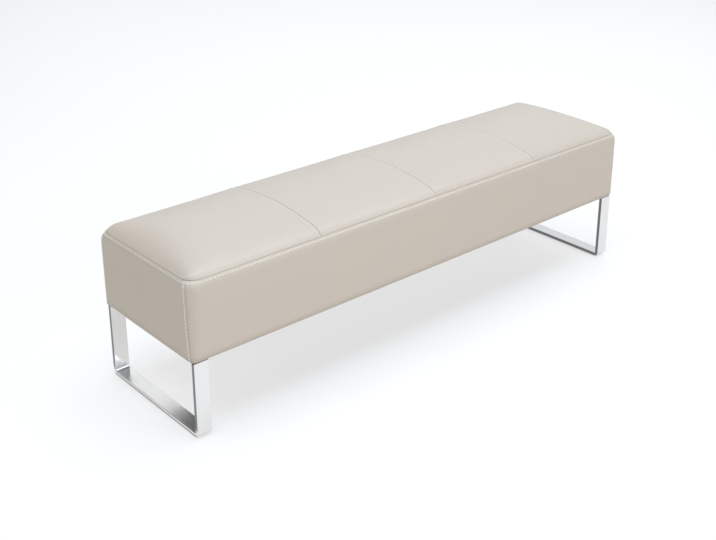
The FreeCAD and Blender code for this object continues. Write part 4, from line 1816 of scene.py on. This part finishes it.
@dataclass
class Padding:
    """What fills the cover: fibre wadding, the foam block and the side pads."""

    form: SeatForm
    palette: Palette
    cover: Cover
    wadding: float = 0.008
    thin: float = 0.0015
    taper: float = 0.03
    thinning: int = 3
    foam_steps: tuple[int, int] = (161, 49)
    foam_ease: float = 0.004
    foam_ease_reach: float = 0.012
    pad_foot: float = 0.3

    def layer(self, panel: Panel) -> tuple[np.ndarray, np.ndarray, np.ndarray, np.ndarray]:
        """A coarser copy of a finished panel: its points, its normals and its stations.

        Args:
            panel: The finished panel.

        Returns:
            The points, the normals, and the stations along u and v.
        """
        keep_u = np.unique(np.r_[0:len(panel.u):self.thinning, len(panel.u) - 1])
        keep_v = np.unique(np.r_[0:len(panel.v):self.thinning, len(panel.v) - 1])
        chosen = np.ix_(keep_u, keep_v)
        return panel.outer[chosen], panel.normals[chosen], panel.u[keep_u], panel.v[keep_v]

    def wadding_pieces(self) -> bpy.types.Object:
        """The wadding behind the four top panels, thinner towards the seams.

        Returns:
            The wadding, as one piece.
        """
        made = []
        for node, panel in self.cover.panels.items():
            if not isinstance(panel, TopPanel):
                continue
            points, normals, u, v = self.layer(panel)
            edge = np.minimum(np.minimum(u, u[-1] - u)[:, None], np.minimum(v, v[-1] - v)[None, :])
            thick = self.thin + (self.wadding - self.thin) * smooth_step(edge / self.taper)
            outer = points - normals * (self.form.cover + self.form.gap)
            made.append(shell(f"wadding_{node}", outer, outer - normals * thick[..., None]))
        first = made[0]
        with bpy.context.temp_override(active_object=first, selected_editable_objects=made):
            bpy.ops.object.join()
        first.name = first.data.name = "top_wadding_layer"
        return first

    def foam_block(self) -> bpy.types.Object:
        """The crowned foam on the deck, with its edges eased.

        Returns:
            The foam's piece.
        """
        form = self.form
        x = np.linspace(-form.core_half_length, form.core_half_length, self.foam_steps[0])
        y = np.linspace(-form.core_half_width, form.core_half_width, self.foam_steps[1])
        inward_x = form.seam_half_length - np.abs(x)
        inward_y = form.seam_half_width - np.abs(y)
        crown = form.crown_height(inward_x[:, None], inward_y[None, :])
        from_end = (form.core_half_length - np.abs(x))[:, None]
        from_side = (form.core_half_width - np.abs(y))[None, :]
        edge = np.minimum(from_end, from_side)
        eased = self.foam_ease * (1 - smooth_step(edge / self.foam_ease_reach))
        grid_x, grid_y = np.meshgrid(x, y, indexing="ij")
        top = np.stack([grid_x, grid_y, form.seam_z + crown - form.foam_depth - eased], axis=-1)
        bottom = np.stack([grid_x, grid_y, np.full_like(grid_x, form.deck_top)], axis=-1)
        return shell("foam_block", top, bottom)

    def side_pad(self, panel: SidePanel) -> bpy.types.Object:
        """The foam pad behind one side of the cover, against the frame.

        Args:
            panel: The finished side of the cover.

        Returns:
            The pad's piece.
        """
        points, normals, u, v = self.layer(panel)
        wall = self.form.seam_z - self.form.underside_z - self.pad_foot * self.form.roll
        above = (v > panel.profile_run[-1] - wall) & (v < v[-1] - self.form.cover)
        outer = (points - normals * (self.form.cover + self.form.gap))[:, above]
        share = np.interp(u, panel.outline_run, panel.outline_share)
        back = self.form.core_half_width + self.form.gap - self.form.seam_half_width
        x, y = panel.outline(share, np.full_like(share, back), np.full_like(share, self.form.flange_corner))
        inner = outer.copy()
        inner[..., 0] = (panel.side.turn * x)[:, None]
        inner[..., 1] = (panel.side.turn * y)[:, None]
        return shell(f"{panel.side.value}_foam_pad", outer, inner)

    def build(self) -> list[bpy.types.Object]:
        """Make every piece of the padding and dress it.

        Returns:
            The pieces.
        """
        made = [
            (self.wadding_pieces(), "top_wadding", "wadding", 0.6),
            (self.foam_block(), "foam_slab", "seat_foam", 1.0),
        ]
        for panel in self.cover.panels.values():
            if isinstance(panel, SidePanel):
                made.append((self.side_pad(panel), f"{panel.side.value}_pad", "side_foam", 0.9))
        for piece, node, slot, fill in made:
            dress(piece, self.palette.slots[slot])
            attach(piece, BODY)
            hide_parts(node)
        return [entry[0] for entry in made]


@dataclass
class Underside:
    """The dust cover stapled under the frame."""

    palette: Palette
    sag: float = 0.0022
    pleat: float = 0.0006
    pleat_pitch: float = 0.0612
    pleat_inward: float = 0.03
    pleat_width: float = 0.028
    lump_share: float = 0.35
    lump_size: float = 0.16
    lump_seed: int = 51
    edge_reach: float = 0.09
    plate_reach: float = 0.12
    step: float = 0.008
    cloth: float = 0.0005

    def build(self) -> bpy.types.Object:
        """Make the cloth, with a shallow sag and pleats between its staples.

        Returns:
            The dust cover's piece.
        """
        low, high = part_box("dust_cover")
        plate_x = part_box("right_mounting_plate")[0].x
        length, width = high.x - low.x, high.y - low.y
        x = np.linspace(low.x, high.x, round(length / self.step) + 1)
        y = np.linspace(low.y, high.y, round(width / self.step) + 1)
        edge = np.minimum(y - low.y, high.y - y)[None, :]
        between_plates = smooth_step((plate_x - np.abs(x)) / self.plate_reach)[:, None]
        rng = np.random.default_rng(self.lump_seed)
        lumps = 1 + self.lump_share * uneven(rng, x - x[0], y - y[0], self.lump_size)
        drop = self.sag * smooth_step(edge / self.edge_reach) * lumps
        beside = np.exp(-((edge - self.pleat_inward) / self.pleat_width) ** 2)
        waves = np.sin(2 * math.pi * x / self.pleat_pitch)[:, None] * beside
        drop = np.clip((drop + self.pleat * waves) * between_plates, 0.0, None)
        grid_x, grid_y = np.meshgrid(x, y, indexing="ij")
        upper = np.stack([grid_x, grid_y, high.z - drop], axis=-1)
        lower = upper - np.array([0.0, 0.0, self.cloth])
        piece = shell("underside_dust_cloth", upper, lower)
        dress(piece, self.palette.slots["dust_cloth"])
        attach(piece, BODY)
        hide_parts("dust_cover")
        return piece


@dataclass
class Legs:
    """The chromed legs: the welds between plates and uprights. The bars and plates are the model's own."""

    palette: Palette
    ripple_pitch: float = 0.0016
    ripple_length: float = 0.0015
    ripple_width: float = 0.0026
    ripple_height: float = 0.0022
    weld_inset: float = 0.002
    weld_steps: int = 12

    def weld_lines(self) -> list[Pair]:
        """Where each plate meets an upright, along its lower edge.

        Returns:
            The welds' paths.
        """
        lines = []
        for side in ("left", "right"):
            plate_low, plate_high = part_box(f"{side}_mounting_plate")
            bar_low, bar_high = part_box(f"{side}_leg_hoop")
            low_x = max(plate_low.x, bar_low.x) + self.weld_inset
            high_x = min(plate_high.x, bar_high.x) - self.weld_inset
            x = np.linspace(low_x, high_x, self.weld_steps)
            for y, inward in ((plate_low.y, 1.0), (plate_high.y, -1.0)):
                points = np.stack([x, np.full_like(x, y), np.full_like(x, plate_low.z)], axis=-1)
                normal = np.array([0.0, inward, -1.0]) / math.sqrt(2.0)
                lines.append((points, np.tile(normal, (len(x), 1))))
        return lines

    def build(self) -> bpy.types.Object:
        """Lay the welds.

        Returns:
            The welds, as one piece.
        """
        sizes = {
            "Pitch": self.ripple_pitch,
            "Length": self.ripple_length,
            "Radius": self.ripple_width,
            "Lift": self.ripple_height,
            "Finish": self.palette.slots["chrome"],
        }
        welds = RowTree(RowShape.WELD_RIPPLE).make("leg_plate_welds", self.weld_lines(), sizes)
        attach(welds, BODY)
        return welds


@dataclass(frozen=True)
class Lamp:
    """One soft studio light, aimed at a point."""

    name: str
    place: Place
    aim: Place
    size: tuple[float, float]
    power: float
    colour: Colour = (1.0, 1.0, 1.0)

    def build(self) -> None:
        """Hang the light."""
        data = bpy.data.lights.new(self.name, "AREA")
        data.shape = "RECTANGLE"
        data.size, data.size_y = self.size
        data.energy = self.power
        data.color = self.colour
        item = bpy.data.objects.new(self.name, data)
        item.location = self.place
        item.rotation_euler = (Vector(self.aim) - Vector(self.place)).to_track_quat("-Z", "Y").to_euler()
        bpy.context.scene.collection.objects.link(item)


COOL = (0.935, 1.0, 1.12)
LAMPS = (
    Lamp("overhead_softbox", (0.1, -0.2, 4.2), (0.1, -0.2, 0.0), (7.0, 3.2), 226.0, (0.905, 1.0, 1.145)),
    Lamp("front_softbox", (3.4, -8.5, 3.5), (-0.1, 0.0, 0.3), (4.0, 3.2), 262.0, COOL),
    Lamp("front_left_softbox", (-1.3, -2.8, 1.4), (-0.4, 0.0, 0.3), (1.2, 1.0), 14.5, COOL),
    Lamp("left_softbox", (-4.0, -0.6, 1.7), (-0.7, 0.0, 0.3), (2.0, 1.6), 9.5),
    Lamp("back_softbox", (2.9, 3.3, 1.9), (0.0, 0.0, 0.4), (5.0, 2.4), 34.0, (0.97, 1.0, 1.05)),
    Lamp("background_softbox", (1.0, 6.0, 4.5), (1.0, 6.0, 0.0), (9.0, 4.0), 62.0),
)


@dataclass(frozen=True)
class Studio:
    """Pale floor, soft light and the camera at the photograph's viewing angle."""

    floor_size: float = 40.0
    sky: float = 0.12
    lamps: tuple[Lamp, ...] = LAMPS
    camera_place: Place = (-1.9265, -2.089, 1.519)
    yaw: float = math.radians(41.125)
    pitch: float = math.radians(20.77)
    focal_px: float = 1122.4
    shift_up: float = -0.15
    sensor: float = 36.0
    sight: float = 100.0

    def build(self) -> None:
        """Set up the floor, the lights and the camera."""
        scene = bpy.context.scene
        half = self.floor_size / 2
        corners = np.array([[-half, -half, 0], [half, -half, 0], [half, half, 0], [-half, half, 0]], float)
        floor = mesh_object("studio_floor", corners, np.array([[0, 1, 2, 3]]), smooth=False)
        dress(floor, PaleFloor().make())
        world = bpy.data.worlds.new("studio")
        world.use_nodes = True
        sky = world.node_tree.nodes["Background"]
        sky.inputs["Color"].default_value = (1.0, 1.0, 1.0, 1.0)
        sky.inputs["Strength"].default_value = self.sky
        scene.world = world
        scene.view_settings.view_transform = "Standard"
        for lamp in self.lamps:
            lamp.build()
        self.camera()

    def camera(self) -> None:
        """Place the camera."""
        data = bpy.data.cameras.new("photo_view")
        data.sensor_width = self.sensor
        data.lens = self.focal_px * self.sensor / FRAME_WIDTH_PX
        data.shift_y = self.shift_up
        data.clip_end = self.sight
        item = bpy.data.objects.new("photo_view", data)
        item.location = self.camera_place
        item.rotation_euler = Euler((math.pi / 2 - self.pitch, 0.0, -self.yaw))
        bpy.context.scene.collection.objects.link(item)
        bpy.context.scene.camera = item


def dress_nodes(frame: dict[str, Any], palette: Palette) -> None:
    """Give every CAD node its finish.

    Args:
        frame: What the loader returned.
        palette: The finishes.
    """
    for entry in frame["record"]["subparts"]:
        node = entry["node"]
        dress(frame["nodes"][node], palette.for_node(node, entry["material_slot"]))


def main() -> None:
    """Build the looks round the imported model."""
    logging.basicConfig(level=logging.INFO, format="%(name)s: %(message)s")
    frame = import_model()
    palette = Palette()
    dress_nodes(frame, palette)
    form = SeatForm.from_frame()
    cover = Cover(form, palette)
    cover.draw()
    made = cover.sew()
    made.append(cover.stitch())
    made += Padding(form, palette, cover).build()
    made.append(Underside(palette).build())
    made.append(Legs(palette).build())
    for piece in made:
        log.info("%s: %d faces", piece.name, len(piece.data.polygons))
    Studio().build()


if __name__ == "__main__":
    main()
